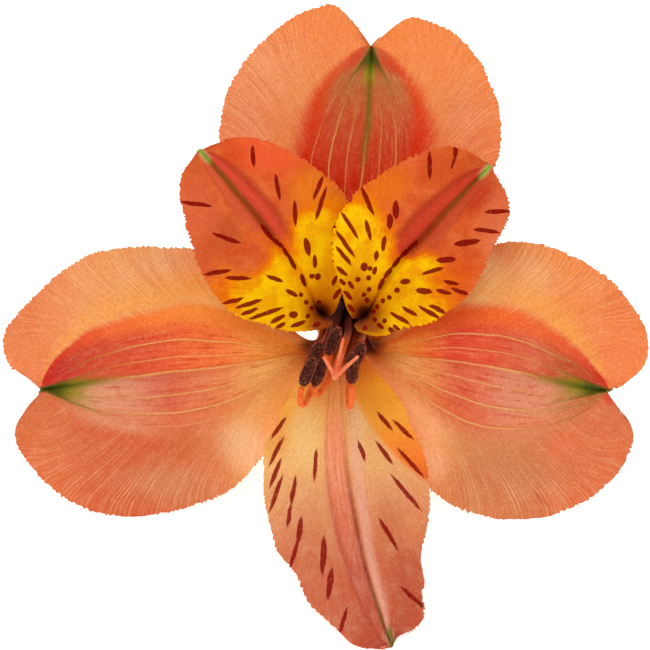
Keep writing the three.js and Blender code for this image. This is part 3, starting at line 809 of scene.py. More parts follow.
def finishSkin(w, finish, colour, point, height, depth=skin["reliefDepth"], speckle=skin["speckle"],
               saturation=skin["saturation"]):
    # the specks, depth of colour and fine relief that every soft part shares
    grain = w.noise(point, 3.4, 3.0, 0.7)
    colour = w.coat(colour, "A83A1C", w.fade(grain, 0.58, 0.36, 0, speckle))
    colour = w.coat(colour, "FFD8A8", w.fade(grain, 0.52, 0.74, 0, speckle * 0.6))
    deeper = w.place("HueSaturation")
    for name, value in (("Saturation", saturation), ("Value", skin["value"]), ("Color", colour)):
        w.feed(deeper.inputs[name], value)
    w.feed(finish.inputs["Base Color"], deeper.outputs[0])
    cells = w.group(effects["cells"], Point=point)
    w.bump(finish, w.scaled(cells["Height"], 0.25, height), depth, skin["reliefStrength"])


veinColours = [(0.0, "EBAA58"), (0.35, "F4C680"), (0.6, "EDBE6A"), (0.75, "C8963C"), (0.88, "6E6C1C"),
               (1.0, "3E5A0C")]  # from claw to tip

# In each pair below the first is the right half and the second the left, seen with the claw below.
# A vein is its place across, where it starts and ends along, and its strength. A patch is its middle, size
# and turn, its colour and strength, all in the bloom's own millimetres and degrees. The base, the claws'
# own brown deepened by painted shade toward the tube, lies over all.
outerLooks = {
    "tepal_outer_top": {
        "start": (0.4, 5.6), "end": (3.0, 32.2),
        "zone": ([(0.0, 0.52), (0.45, 0.53), (0.53, 0.64), (0.62, 0.72), (0.85, 0.98), (1.0, 1.0)],
                 [(0.0, 0.50), (0.46, 0.54), (0.52, 0.58), (0.6, 0.67), (0.85, 0.90), (1.0, 0.95)]),
        "soft": (0.13, 0.10),
        "wedge": ([(0.0, "AC2008"), (0.42, "D42C10"), (0.55, "D24424"), (0.7, "CE5832"), (0.85, "C2703C")],
                  [(0.0, "AC2008"), (0.42, "D42C10"), (0.55, "D04424"), (0.7, "CA5630"), (0.85, "BE6C38")]),
        "rim": ([(0.0, "B81C08"), (0.45, "CE2008"), (0.75, "E43812"), (0.95, "E85A30")],
                [(0.0, "B81C08"), (0.5, "D23010"), (0.75, "E04018"), (0.95, "E85A30")]),
        "rimShare": (0.95, 0.92),
        "lobe": ([(0.0, "E06A30"), (0.5, "E97C42"), (0.75, "F48A4C"), (1.0, "FD8E4A")],
                 [(0.0, "E27038"), (0.5, "EC8C54"), (0.75, "F09058"), (1.0, "FB8C4C")]),
        "veins": [(0.26, 0.2, 0.78, 0.9), (0.13, 0.2, 0.68, 0.55), (0.40, 0.2, 0.56, 0.5),
                  (-0.13, 0.2, 0.75, 0.6), (-0.26, 0.2, 0.80, 0.8), (0.0, 0.2, 0.99, 0.9)],
        "golden": (0.12, 0.12), "olive": 0.8,
        "green": {"slopes": (0.55, 0.50), "fades": 4.0, "fill": 0.55, "inside": "9CAE18", "core": 0.35},
        "notch": [((1.2, 30.9), (2.4, 0.8), 46, "DA3C26", 0.7),
                  ((4.9, 30.4), (2.6, 0.9), -42, "DE3A24", 0.7),
                  ((2.2, 33.2), (1.6, 0.35), -55, "DA4A34", 0.6)],
        "patches": [
            ((-9.0, 30.0), (7.5, 7.0), 0, "F79C66", 0.7),
            ((12.5, 22.0), (6.0, 8.5), 0, "F09062", 0.6),
            ((-10.5, 22.5), (3.6, 6.0), 20, "EC9A6A", 0.6),
            ((10.0, 20.4), (2.4, 4.4), 0, "E46C3C", 0.6),
        ],
        "base": [],
    },
    "tepal_outer_left": {
        "start": (-3.0, -1.4), "end": (-33.8, -6.1),
        "zone": ([(0.0, 0.64), (0.35, 0.62), (0.46, 0.57), (0.55, 0.61), (0.64, 0.72), (0.71, 0.82),
                  (1.0, 0.88)],
                 [(0.0, 0.42), (0.4, 0.46), (0.6, 0.50), (0.75, 0.42), (1.0, 0.6)]),
        "soft": (0.045, 0.12),
        "wedge": ([(0.0, "C4641C"), (0.12, "E08A2C"), (0.22, "F09C48"), (0.33, "F07C3A"), (0.45, "EE6A36"),
                   (0.6, "DE5638"), (0.8, "CE4C32"), (0.95, "C0302A")],
                  [(0.0, "CC7A28"), (0.12, "ECAA54"), (0.22, "F8BA66"), (0.36, "EC8A54"), (0.55, "D8664A"),
                   (0.7, "DC8E6C"), (0.85, "DC9870"), (0.95, "B4702E")]),
        "rim": ([(0.0, "EE8C34"), (0.4, "FC9640"), (0.6, "F87E38"), (0.8, "EE5C30"), (0.95, "CE3020")],
                [(0.0, "E09048"), (0.4, "E27A48"), (0.7, "DC7C52"), (1.0, "D06A44")]),
        "rimShare": (0.95, 0.5),
        "lobe": ([(0.0, "E4762C"), (0.3, "F4AC56"), (0.55, "EFA060"), (0.8, "F49C60"), (1.0, "EE8450")],
                 [(0.0, "F4B45C"), (0.28, "F0AC62"), (0.4, "DC8450"), (0.52, "D06A3C"), (0.7, "CE6038"),
                  (0.85, "D0643C"), (1.0, "DA7042")]),
        "veins": [(-0.28, 0.2, 0.74, 0.9), (-0.13, 0.24, 0.60, 0.6), (0.18, 0.22, 0.66, 0.75),
                  (0.32, 0.2, 0.74, 0.85), (0.43, 0.25, 0.5, 0.35), (0.0, 0.2, 0.99, 0.9)],
        "golden": (0.6, 0), "olive": 0,
        "green": {"slopes": (0.16, 0.60), "fades": 5.2, "fill": 1.3, "inside": "7E8410", "core": 0.9},
        "notch": [((-33.2, -5.0), (1.5, 0.7), 40, "C8281C", 0.6)],
        "patches": [
            ((-18.5, 8.3), (9.0, 2.8), 8, "F0AC76", 0.75),
            ((-13.4, 4.6), (5.6, 3.2), 20, "FFCC7C", 0.75),
            ((-10.6, -13.0), (5.4, 4.0), -50, "F6CC98", 0.8),
            ((-6.0, -7.2), (3.4, 4.2), 30, "E8A850", 0.6),
            ((-19.5, -16.9), (8.0, 3.4), -8, "CE845A", 0.7),
            ((-26.2, -9.4), (6.5, 1.4), -16, "ECA88E", 0.8),
            ((-25.0, -11.6), (8.0, 1.5), -14, "D2562E", 0.5),
        ],
        # the claw's own brown deepened by painted shade toward the tube
        "base": [((-1.6, 0.0), (3.8, 2.7), 0, "C4661C", 0.65),
                 ((-3.7, -1.35), (2.3, 1.2), -5, "4A1C0E", 0.85)],
    },
    "tepal_outer_right": {
        "start": (3.0, -1.4), "end": (29.2, -6.2),
        "zone": ([(0.0, 0.46), (0.4, 0.50), (0.6, 0.50), (0.75, 0.46), (1.0, 0.6)],
                 [(0.0, 0.58), (0.35, 0.54), (0.5, 0.54), (0.65, 0.50), (0.8, 0.55), (1.0, 0.7)]),
        "soft": (0.12, 0.06),
        "wedge": ([(0.0, "DA8A3A"), (0.16, "F8B466"), (0.25, "F29C54"), (0.36, "DE6644"), (0.46, "E06A4C"),
                   (0.6, "DE8C6C"), (0.75, "DE8E6A"), (0.95, "B87034")],
                  [(0.0, "D0742A"), (0.12, "F09C3C"), (0.22, "F07C34"), (0.33, "DE4830"), (0.5, "E0563A"),
                   (0.68, "D66A4A"), (0.8, "BE5632"), (0.95, "B83A26")]),
        "rim": ([(0.0, "E09048"), (0.4, "DC6A3C"), (0.7, "DC7A50"), (1.0, "D06A44")],
                [(0.0, "E8702C"), (0.33, "EE6428"), (0.5, "F46E2E"), (0.65, "F06A34"), (0.85, "E65834"),
                 (0.95, "CC3824")]),
        "rimShare": (0.5, 0.95),
        "lobe": ([(0.0, "EBA056"), (0.3, "E69C5E"), (0.5, "CC8450"), (0.8, "CE7648"), (1.0, "DA7044")],
                 [(0.0, "E06C26"), (0.28, "EA8A40"), (0.5, "F09856"), (0.8, "F4904E"), (1.0, "F2844A")]),
        "veins": [(0.28, 0.2, 0.72, 0.9), (0.14, 0.2, 0.55, 0.6), (-0.13, 0.2, 0.55, 0.6),
                  (-0.28, 0.2, 0.80, 0.85), (-0.43, 0.2, 0.80, 0.8), (0.0, 0.2, 0.99, 0.9)],
        "golden": (0, 0.6), "olive": 0,
        "green": {"slopes": (0.42, 0.20), "fades": 5.2, "fill": 1.3, "inside": "7E8410", "core": 0.9},
        "notch": [((29.5, -7.2), (1.2, 0.55), -52, "E0342A", 0.75),
                  ((28.9, -5.1), (1.2, 0.6), -35, "C82A20", 0.6)],
        "patches": [
            ((17.5, 7.6), (8.5, 2.6), -10, "EF9C60", 0.6),
            # painted light: lifts the shade that the inner right tepal casts on this lobe
            ((15.2, 6.2), (4.2, 4.6), 20, "FFDC94", 0.95),
            ((20.4, 6.2), (4.6, 4.4), 10, "F6B880", 0.5),
            ((8.6, -9.6), (3.6, 6.8), 28, "F4B47C", 0.85),
            ((18.0, -16.2), (8.0, 4.0), 6, "C87A50", 0.7),
            ((9.6, -14.6), (2.6, 3.0), 30, "F8C494", 0.6),
            ((19.5, -9.2), (6.0, 1.4), 8, "E08A6C", 0.65),
            ((24.6, -12.4), (3.4, 2.6), 20, "E26C42", 0.6),
            ((22.0, -18.4), (1.7, 0.3), -53, "AC4630", 0.75),
        ],
        # the claw's own brown deepened by painted shade toward the tube
        "base": [((2.6, -0.2), (3.6, 2.7), 0, "B4560F", 0.75), ((3.0, -1.3), (2.1, 1.4), 5, "441A0A", 0.85)],
    },
}


def throatBrownAndShadeMask(w, point):
    # the tube's dark mouth, the claws' own dark brown deepened by painted shade: a narrow slot between
    # the upper blades, and the depth below it
    z = w.parts(point)["Z"]
    slot = patchMask(w, point, (-0.1, 1.5), (1.7, 2.6), 0, 0.45)
    slot = w.times(slot, w.fade(z, -2.4, -3.6))
    depth = w.times(patchMask(w, point, (0.3, 2.0), (3.2, 2.7), 0, 0.6), w.fade(z, -4.5, -8.0))
    return w.maths("MAXIMUM", slot, depth)


def startTepal(name, back):
    # what the paint of each tepal starts from
    paint, w, finish = startPaint(name + ("_back" if back else "_face"), skin["roughness"])
    point = w.bloomPoint()
    across, along, run = (w.attribute(key) for key in ("across", "along", "run"))
    hair = w.group(effects["hairVeins"], Across=across, Run=run)
    cells = w.group(effects["cells"], Point=point)
    return paint, w, finish, point, across, along, hair, cells


def signedAxis(w, point, look):
    # how far from claw (0) to tip (1), straight along the tepal, how far to its left in mm, and its length
    (x0, y0), (x1, y1) = look["start"], look["end"]
    length, turn = math.hypot(x1 - x0, y1 - y0), math.atan2(y1 - y0, x1 - x0)
    local = w.parts(w.moved(point, (x0, y0, 0), (0, 0, turn), (length, 1, 1000), "TEXTURE"))
    return local["X"], local["Y"], length


def layBack(w, colour, veil, away, width, green, share):
    # the back is paler, with a green line down its middle
    colour = w.coat(colour, veil, skin["backVeil"])
    return w.coat(colour, green, w.fade(away, width, 0.0), share)


def tipWedge(w, colour, reach, offset, length, look):
    # the green triangle that ends an outer tepal: dark at its point and sides, yellow-green inside
    back = w.times(w.minus(1.0, reach), length)
    sides = w.mix(w.fade(offset, -0.05, 0.05), *[(slope, slope, slope, 1) for slope in look["slopes"]])
    edge = w.scaled(back, sides, 0.12)
    away = w.absolute(offset)
    inside = w.fade(w.minus(away, edge), 0.12, -0.22)
    filled = w.times(inside, w.fade(w.over(away, edge), look["fill"], look["fill"] * 0.3))
    near = w.fade(back, look["fades"] * 1.25, look["fades"] * 0.45)
    line = w.line(away, edge, 0.30)
    line = w.times(line, w.fade(back, look["fades"] * 1.7, look["fades"] * 0.3))
    core = w.times(w.fade(away, w.scaled(back, 0.06, 0.45), 0.05),
                   w.fade(back, look["fades"] * 2.0, look["fades"] * 0.6))
    colour = w.coat(colour, look["inside"], filled, near, 0.85)
    dark = w.mix(w.fade(back, 1.0, 5.0), tint("34520A"), tint("6C7018"))
    colour = w.mix(w.times(line, 0.75), colour, dark)
    colour = w.mix(w.times(core, look["core"]), colour, dark)
    point = w.times(inside, w.fade(back, 3.4, 1.2))
    return w.coat(colour, "2A480A", point, 0.9)


def tipStripe(w, colour, reach, offset, length, long, wide, code):
    # the short green end of an inner tepal's midrib
    back = w.times(w.minus(1.0, reach), length)
    stripe = w.times(w.fade(w.absolute(offset), wide, wide * 0.4), w.fade(back, long, long * 0.5))
    pale = w.times(w.fade(w.absolute(offset), wide * 1.9, wide), w.fade(back, long * 0.9, long * 0.3))
    colour = w.coat(colour, "F0C8A0", pale, 0.25)
    return w.coat(colour, code, stripe, 0.9)


def paintOuter(name, look, back=False):
    paint, w, finish, point, across, along, hair, cells = startTepal(name, back)
    reach, offset, length = signedAxis(w, point, look)
    left = w.fade(across, -0.015, 0.015)
    spread = ramp(w, along, veinSpread)
    placed = w.over(across, spread)
    wobble = w.noise(w.joined(w.times(along, 7), across), 1.0)
    placed = w.scaled(w.minus(wobble, 0.5), 0.05, placed)
    away = w.absolute(placed)
    veinColour = ramp(w, reach, veinColours)

    def halves(pair, value=reach):
        return w.mix(left, ramp(w, value, pair[0]), ramp(w, value, pair[1]))

    blur = w.scaled(w.minus(hair["Tone"], 0.5), 0.20, away)
    soft = w.scaled(left, look["soft"][1] - look["soft"][0], look["soft"][0])
    outside = w.minus(blur, halves(look["zone"], along))
    zone = w.fade(w.over(outside, soft), 1.0, -1.0)

    lobe = layPatches(w, halves(look["lobe"]), point, look["patches"] + look["base"])
    lobe = w.coat(lobe, "FBC49A", w.fade(cells["Tone"], 0.45, 0.75, 0, 0.10))
    golden = w.times(w.fade(outside, -0.02, 0.10), w.fade(outside, 0.50, 0.08))
    golden = w.times(golden, w.fade(along, 0.88, 0.62))
    goldenShare = w.scaled(left, look["golden"][1] - look["golden"][0], look["golden"][0])
    lobe = w.coat(lobe, "FAA64A", golden, goldenShare)
    wedge = halves(look["wedge"])
    fibres = w.noise(w.joined(w.times(along, 10), w.times(placed, 46)), 1.0, 5.0, 0.7)
    flecks = w.noise(w.joined(w.times(along, 30), w.times(placed, 16)), 1.0, 4.0, 0.6)
    mottle = w.scaled(fibres, 0.6, w.times(flecks, 0.4))
    wedge = w.coat(wedge, "F2A27C", w.fade(mottle, 0.50, 0.68, 0, 0.38))
    wedge = w.coat(wedge, "C62C1A", w.fade(mottle, 0.50, 0.36, 0, 0.66))
    rimShare = w.scaled(left, look["rimShare"][1] - look["rimShare"][0], look["rimShare"][0])
    rim = w.fade(outside, -0.26, -0.08)
    wedge = w.mix(w.times(rim, rimShare), wedge, halves(look["rim"]))
    colour = w.mix(zone, lobe, wedge)

    hollows = None
    for place, start, end, strength in look["veins"]:
        vein = w.group(effects["mainVein"], Across=placed, Along=along, Place=place, From=start, To=end,
                       Width=mainVein["width" if place else "midribWidth"])
        # painted shade in the hollow that each vein lies in
        colour = w.coat(colour, "B85A24", vein["Hollow"], mainVein["hollowShadeStrength"] * strength)
        colour = w.mix(w.times(vein["Mask"], mainVein["strength"] * strength), colour, veinColour)
        hollows = vein["Hollow"] if hollows is None else w.maths("MAXIMUM", hollows, vein["Hollow"])
    outward = w.fade(away, 0.30, 0.75, 0.25, 1.0)
    outward = w.times(outward, w.fade(along, 0.88, 0.62, 0.0, 1.0))
    outward = w.times(outward, w.fade(outside, -0.10, 0.05))
    colour = w.coat(colour, "FFD2A8", hair["Mask"], outward, skin["hairShare"])
    calm = w.times(w.scaled(zone, -0.8, 1.0), w.fade(along, 0.95, 0.72, 0.3, 1.0))
    colour = w.coat(colour, "CA583A", w.fade(hair["Tone"], 0.52, 0.32, 0, 0.33), calm)
    colour = w.coat(colour, "FFCAA0", w.fade(hair["Tone"], 0.53, 0.72, 0, 0.32), calm)

    if look["olive"]:
        line = w.times(w.fade(away, 0.055, 0.0), w.fade(reach, 0.42, 0.68, 0, look["olive"]))
        colour = w.coat(colour, "7C7018", line)
    colour = layPatches(w, colour, point, look["notch"])
    colour = tipWedge(w, colour, reach, offset, length, look["green"])
    if back:
        colour = layBack(w, colour, "EDA884", away, 0.11, "74883A", w.fade(reach, 0.0, 0.6, 0.35, 0.9))
    # painted shade: the claw-base patches darken again toward the tube, over the claws' own brown
    colour = layPatches(w, colour, point, look["base"])
    # painted shade of the tube over the claws' own dark brown
    colour = w.coat(colour, skin["throatBrownAndShade"], throatBrownAndShadeMask(w, point))
    height = w.scaled(w.times(hair["Height"], w.fade(away, 0.2, 0.8)), 0.5,
                      w.times(w.minus(1.0, hollows), 0.8))
    finishSkin(w, finish, colour, point, height)
    return paint


# A streak is its two ends and, if it isn't the usual one, half its width. A lift is a patch that moves the
# edge of the yellow, and the eye is the patches inside the yellow.
innerLooks = {
    "tepal_inner_left": {
        "start": (-2.0, 2.4), "end": (-16.0, 20.4), "groove": -0.01, "darkSide": -1,
        "ridge": 0.22, "red": "D24638", "redShare": 0.85, "pink": "CE583C",
        "patches": [
            ((-16.2, 13.2), (4.0, 9.0), 10, "DA6642", 0.8),
            ((-15.0, 9.4), (3.0, 3.0), 0, "CA542E", 0.7),
            ((-12.9, 11.6), (2.6, 2.6), -40, "BC5030", 0.7),
            ((-9.2, 20.2), (7.0, 3.4), -14, "F05E38", 0.8),
            ((-12.6, 19.4), (2.2, 2.6), -30, "CC3A1E", 0.45),
            ((-3.6, 16.0), (4.2, 4.0), -30, "E87C28", 0.9),
            ((-1.2, 13.4), (3.0, 3.4), 0, "EE8C10", 0.9),
        ],
        "lift": [((-3.0, 12.8), (3.8, 3.4), 0, -0.09), ((-10.6, 8.6), (3.8, 3.0), 0, 0.10)],
        # the last eye patch, near black, is painted shade in the mouth of the claw's channel
        "eye": [((-2.2, 5.6), (2.6, 3.2), 0, "DC8208", 0.75), ((-2.5, 2.9), (3.6, 3.2), 0, "C06008", 0.9),
                ((-2.4, 2.3), (2.6, 2.3), 0, "8E3C0E", 0.9), ((-2.6, 1.0), (3.0, 1.3), 6, "A04A22", 0.9),
                ((-2.55, 2.75), (1.2, 1.2), 0, "481408", 0.95)],
        "streaks": [
            (-10.33, 21.17, -10.21, 18.82), (-7.78, 17.95, -7.28, 15.12), (-5.64, 15.04, -5.53, 12.21),
            (-2.46, 17.72, -3.54, 15.2), (-2.08, 16.53, -3.25, 12.92), (-0.67, 12.92, -1.4, 11.69, 0.2),
            (-18.37, 14.9, -14.96, 14.41), (-14.81, 11.38, -11.65, 10.25), (-9.46, 12.38, -7.97, 10.56),
            (-8.18, 10.81, -6.83, 9.8), (-6.94, 9.86, -6.32, 8.68), (-6.44, 9.07, -5.49, 7.34),
            (-4.44, 10.86, -4.01, 8.87, 0.42), (-3.36, 8.99, -3.34, 7.5), (-4.98, 6.88, -4.37, 5.38),
            (-3.98, 6.66, -3.42, 6.55), (-3.3, 6.61, -2.74, 6.43, 0.42), (-15.75, 6.72, -12.77, 7.28),
            (-13.4, 6.41, -10.56, 6.32), (-8.76, 6.66, -6.98, 5.94), (-6.63, 5.06, -5.3, 4.28),
            (-5.15, 4.59, -4.7, 4.42), (-4.55, 3.74, -4.1, 3.56), (-3.92, 3.14, -3.47, 2.91),
            (-3.14, 3.81, -2.69, 3.58), (-4.37, 2.18, -3.92, 2.07), (-13.78, 3.47, -11.35, 4.14),
            (-12.21, 3.02, -9.3, 3.96), (-11.61, 2.26, -9.74, 2.95), (-10.72, 1.77, -6.94, 3.1),
            (-8.37, 1.37, -6.72, 2.21), (-7.73, 0.74, -6.69, 1.4), (-6.24, 2.18, -5.33, 2.35, 0.42),
            (-6.08, 0.9, -4.37, 1.57), (-3.58, 1.01, -2.8, 1.29), (-1.4, 5.53, -0.9, 6.64),
            (-1.34, 3.96, -0.45, 5.22), (-1.29, 8.06, -1.12, 8.51, 0.2),
            (-1.34, 10.42, -1.34, 10.08, 0.2),
        ],
    },
    "tepal_inner_right": {
        "start": (2.2, 2.2), "end": (16.0, 18.7), "groove": -0.02, "darkSide": 1,
        "ridge": 0.27, "red": "C23C2C", "redShare": 0.9, "pink": "BC4630",
        "patches": [
            ((17.0, 13.4), (3.4, 6.0), -10, "DC6E48", 0.8),
            ((14.6, 15.6), (2.4, 3.6), -42, "BE3820", 0.85),
            ((16.8, 10.4), (1.6, 3.4), -20, "E08060", 0.3),
            ((12.6, 6.4), (3.4, 3.2), 20, "DE561E", 0.7),
            ((10.4, 18.4), (4.0, 3.0), 20, "CE5228", 0.75),
            ((13.6, 17.2), (3.4, 2.2), 40, "CC4A2E", 0.8),
            ((4.6, 16.6), (4.2, 3.4), 20, "E87226", 0.9),
            ((1.6, 13.8), (3.0, 3.4), 0, "EC8814", 0.9),
        ],
        "lift": [((1.6, 13.2), (4.4, 3.2), 0, -0.09), ((9.6, 8.0), (2.2, 1.6), 0, -0.08),
                 ((7.0, 9.6), (1.6, 1.6), 0, 0.06)],
        # the last eye patch, near black, is painted shade in the mouth of the claw's channel
        "eye": [((1.2, 5.6), (2.6, 3.2), 0, "DC8208", 0.75), ((2.2, 2.9), (3.8, 3.2), 0, "C06008", 0.9),
                ((5.8, 5.0), (2.6, 1.8), 30, "DC8410", 0.4), ((2.2, 2.2), (2.6, 2.3), 0, "8E3C0E", 0.9),
                ((2.6, 0.9), (3.0, 1.3), -6, "A04A20", 0.9), ((2.1, 2.55), (1.2, 1.2), 0, "3C1008", 0.95)],
        "streaks": [
            (9.41, 20.5, 9.45, 17.4), (12.39, 21.17, 12.24, 19.71), (12.28, 19.94, 11.87, 18.48, 0.2),
            (1.79, 16.58, 3.19, 13.36), (5.67, 15.01, 5.71, 12.99, 0.42), (5.04, 13.59, 5, 11.87, 0.42),
            (-0.4, 13.73, 1.46, 10.79), (2.3, 12.88, 2.89, 10.58), (4.48, 11.09, 4.21, 9.41),
            (3.58, 9.41, 3.42, 8.33), (-1.01, 11.65, 1.06, 8.74), (-1.01, 9.91, 0.67, 7.84),
            (2.16, 8.06, 2.13, 7.17, 0.42), (2.58, 7.53, 3.02, 7.35), (3.47, 7.66, 3.19, 6.72),
            (2.42, 6.5, 2.87, 6.27), (1.23, 6.29, 1.68, 6.09), (-0.93, 7.66, 0.27, 6.61),
            (-0.63, 6.24, 0.04, 5.63), (0.31, 6.01, 0.99, 5.19), (2.46, 5.22, 2.91, 5),
            (1.9, 4.59, 2.35, 4.44), (2.24, 3.99, 2.69, 3.76), (-0.18, 4.96, 0.84, 3.92),
            (0.27, 3.38, 1.1, 2.63), (8.22, 10.51, 7.02, 9.52), (7.17, 9.63, 6.16, 8.67),
            (6.27, 8.78, 5.22, 7.5), (5.26, 7.56, 4.32, 6.31), (4.37, 6.38, 3.7, 5.04),
            (15.57, 13.73, 18.48, 13.81), (14.34, 11.83, 17.25, 11.48),
            (12.21, 10.14, 15.01, 10.53, 0.42), (10.25, 8.33, 12.39, 8.51, 0.42),
            (8.67, 6.83, 10.92, 7.5), (11.04, 6.01, 12.66, 5.71), (6.2, 5.94, 7.3, 6.05, 0.36),
            (5.53, 5.08, 6.03, 4.93), (4.73, 4.3, 5.2, 4.12), (4.03, 3.9, 4.48, 3.72),
            (3.36, 3.25, 3.81, 3.07), (2.91, 2.72, 3.36, 2.54), (7.92, 5, 9.72, 4.84, 0.42),
            (10.19, 5.04, 11.87, 4.59), (11.87, 5.22, 13.78, 4.54), (9.41, 3.38, 11.2, 2.49),
            (8.18, 3.25, 10.7, 1.81), (6.42, 3.14, 8.06, 2.13), (5.07, 2.53, 7.25, 1.21),
            (3.14, 1.79, 3.58, 1.68), (4.21, 1.68, 4.66, 1.5), (3.58, 1.29, 4.32, 0.67),
            (4.93, 0.78, 5.49, 0.22), (5.38, 1.12, 6.16, 0.45), (2.07, 0.9, 2.44, 0.62),
        ],
    },
}


def paintInner(name, look, back=False):
    paint, w, finish, point, across, along, hair, cells = startTepal(name, back)
    reach, offset, length = signedAxis(w, point, look)
    bank = w.times(w.minus(across, look["groove"]), look["darkSide"])

    colour = w.mix(w.fade(cells["Tone"], 0.35, 0.65), tint("D4562C"), tint("E06C3A"))
    colour = layPatches(w, colour, point, look["patches"])
    ridge = look["ridge"]
    grown = w.times(w.fade(along, 0.28, 0.42), w.fade(along, 0.99, 0.88))
    red = w.times(w.fade(bank, -0.01, 0.05), w.fade(bank, ridge + 0.06, ridge - 0.02))
    colour = w.coat(colour, look["red"], red, grown, look["redShare"])
    # painted shade along the crease at the ridge's edge
    creaseShade = w.line(bank, ridge, 0.10, 0.5)
    colour = w.coat(colour, "9A321C", creaseShade, grown)
    pink = w.times(w.fade(bank, 0.01, -0.05), w.fade(bank, -0.30, -0.14))
    colour = w.coat(colour, look["pink"], pink, grown, 0.75)
    # painted shade along the outer fold
    foldShade = w.times(w.line(bank, -0.2, 0.05), w.fade(along, 0.45, 0.7))
    colour = w.coat(colour, "A03A24", foldShade, 0.35)
    # painted shade down the midrib channel, turning to the channel's own olive toward the green tip
    groove = w.times(w.fade(w.absolute(bank), 0.08, 0.0), w.fade(along, 0.3, 0.42))
    colour = w.mix(w.times(groove, 0.85), colour,
                   w.mix(w.fade(reach, 0.5, 0.88), tint("842A0E"), tint("6E5018")))
    colour = w.coat(colour, "B83A1C", w.fade(hair["Tone"], 0.52, 0.28, 0, 0.28))
    colour = w.coat(colour, "F8A468", hair["Mask"], 0.09)

    ragged = w.scaled(w.minus(hair["Tone"], 0.5), -0.10, along)
    ragged = w.scaled(w.minus(cells["Tone"], 0.5), -0.10, ragged)
    bite = w.fade(w.absolute(w.minus(bank, 0.08)), 0.30, 0.02, 0, 0.085)
    ragged = w.plus(ragged, bite)
    for middle, size, turn, amount in look["lift"]:
        ragged = w.scaled(patchMask(w, point, middle, size, turn), amount, ragged)
    colour = w.coat(colour, "EE7A16", w.fade(ragged, 0.54, 0.42))
    yellow = w.mix(w.fade(cells["Tone"], 0.35, 0.65), tint("F3A800"), tint("FFC800"))
    yellow = layPatches(w, yellow, point, look["eye"])
    colour = w.mix(w.fade(ragged, 0.465, 0.375), colour, yellow)
    colour = w.coat(colour, "DC6E14", w.fade(hair["Tone"], 0.46, 0.25, 0, 0.22),
                    w.fade(along, 0.25, 0.45))

    streaks = streakMask(w, point, look["streaks"], 0.85, 0.86)
    colour = w.coat(colour, skin["streakRed"], streaks, 0.40 if back else 0.96)
    colour = tipStripe(w, colour, reach, offset, length, 2.0, 0.36, "8EB848")
    if back:
        colour = layBack(w, colour, "E88E62", w.absolute(bank), 0.10, "7E8A3A", 0.6)
    # painted shade of the tube over the claws' own dark brown
    colour = w.coat(colour, skin["throatBrownAndShade"], throatBrownAndShadeMask(w, point))
    height = w.times(hair["Height"], w.fade(w.absolute(across), 0.05, 0.5))
    finishSkin(w, finish, colour, point, height, skin["reliefDepth"], skin["innerSpeckle"],
               skin["innerSaturation"])
    return paint


lowerLook = {
    "start": (-0.2, -2.0), "end": (5.2, -34.5),
    "folds": [(0.0, 0.035, -0.32), (-0.245, 0.04, -0.28)],  # place across, half width and height in mm
    "blade": [(0.0, "E88420"), (0.10, "F6A040"), (0.20, "FFC264"), (0.35, "FABC74"), (0.52, "E69664"),
              (0.72, "D46C48"), (1.0, "C45038")],
    "band": [(0.1, "FC9A4C"), (0.3, "FC9868"), (0.5, "EA8260"), (0.75, "C2543E"), (1.0, "BE503A")],
    "patches": [
        # painted light: saturated orange where the left outer tepal lies behind and light shines through
        ((-7.6, -10.6), (2.4, 4.8), -22, "EE9A3C", 0.75),
        ((-6.0, -8.0), (2.6, 4.0), -25, "FFB84A", 0.85),
        ((-4.4, -11.4), (2.6, 5.0), 0, "FFD282", 0.85),
        ((1.5, -9.4), (2.0, 4.6), 6, "FFD08C", 0.8),
        ((4.2, -6.4), (2.6, 3.6), 0, "F4A83A", 0.7),
        ((3.6, -12.4), (1.8, 5.6), 14, "F6B472", 0.7),
        ((5.4, -22.0), (2.8, 5.0), 14, "D4744A", 0.6),
        ((7.4, -27.4), (3.0, 5.4), 10, "C4583A", 0.85),
        ((7.6, -20.6), (2.0, 3.0), 0, "E88A56", 0.6),
        ((-4.6, -25.0), (3.4, 5.4), 18, "D67450", 0.7),
        ((-2.0, -31.4), (5.0, 4.4), -30, "D6714E", 0.7),
        ((3.4, -28.4), (1.6, 4.4), 14, "E29274", 0.7),
    ],
    "backlitOverlap": ((15.2, 0.2), (16.2, 20.2), 23, 0.955),  # the part beside the right outer tepal, painted saturated orange as light shining through both tepals
    "backlitOverlapColours": [(0.04, "F2802A"), (0.13, "FFA830"), (0.24, "FFAC38"), (0.33, "FF8E2C"),
                       (0.42, "F87020"), (0.5, "D84C14")],
    "streaks": [
        (-6.56, -9.11, -8.29, -11.65), (-6.83, -11.31, -8.57, -14.78), (-7.11, -13.71, -8.47, -17.14),
        (-6.97, -15.51, -8.47, -19.94), (-5.49, -15.68, -6.1, -19.15), (-6.05, -18.82, -6.43, -21.5),
        (-3.18, -12.66, -3.47, -16.41), (-4.89, -20.24, -5.21, -23.3, 0.42),
        (-5.08, -22.29, -6.16, -26.16), (-2.32, -22.33, -2.54, -26.91, 0.42),
        (-1.46, -25.87, -1.94, -29.61, 0.42), (0.22, -30.28, -0.62, -33.43), (1.46, -11.76, 2.3, -14.17),
        (3.47, -11.87, 5.38, -14.56), (3.54, -8.57, 5.38, -10.75), (5.31, -9.45, 7.73, -11.76),
        (5.78, -12.54, 8.88, -16.02), (5.04, -15.51, 8.56, -19.71), (3.7, -20.31, 6.01, -24.14),
        (6.08, -27.96, 8.94, -30.51),
    ],
}


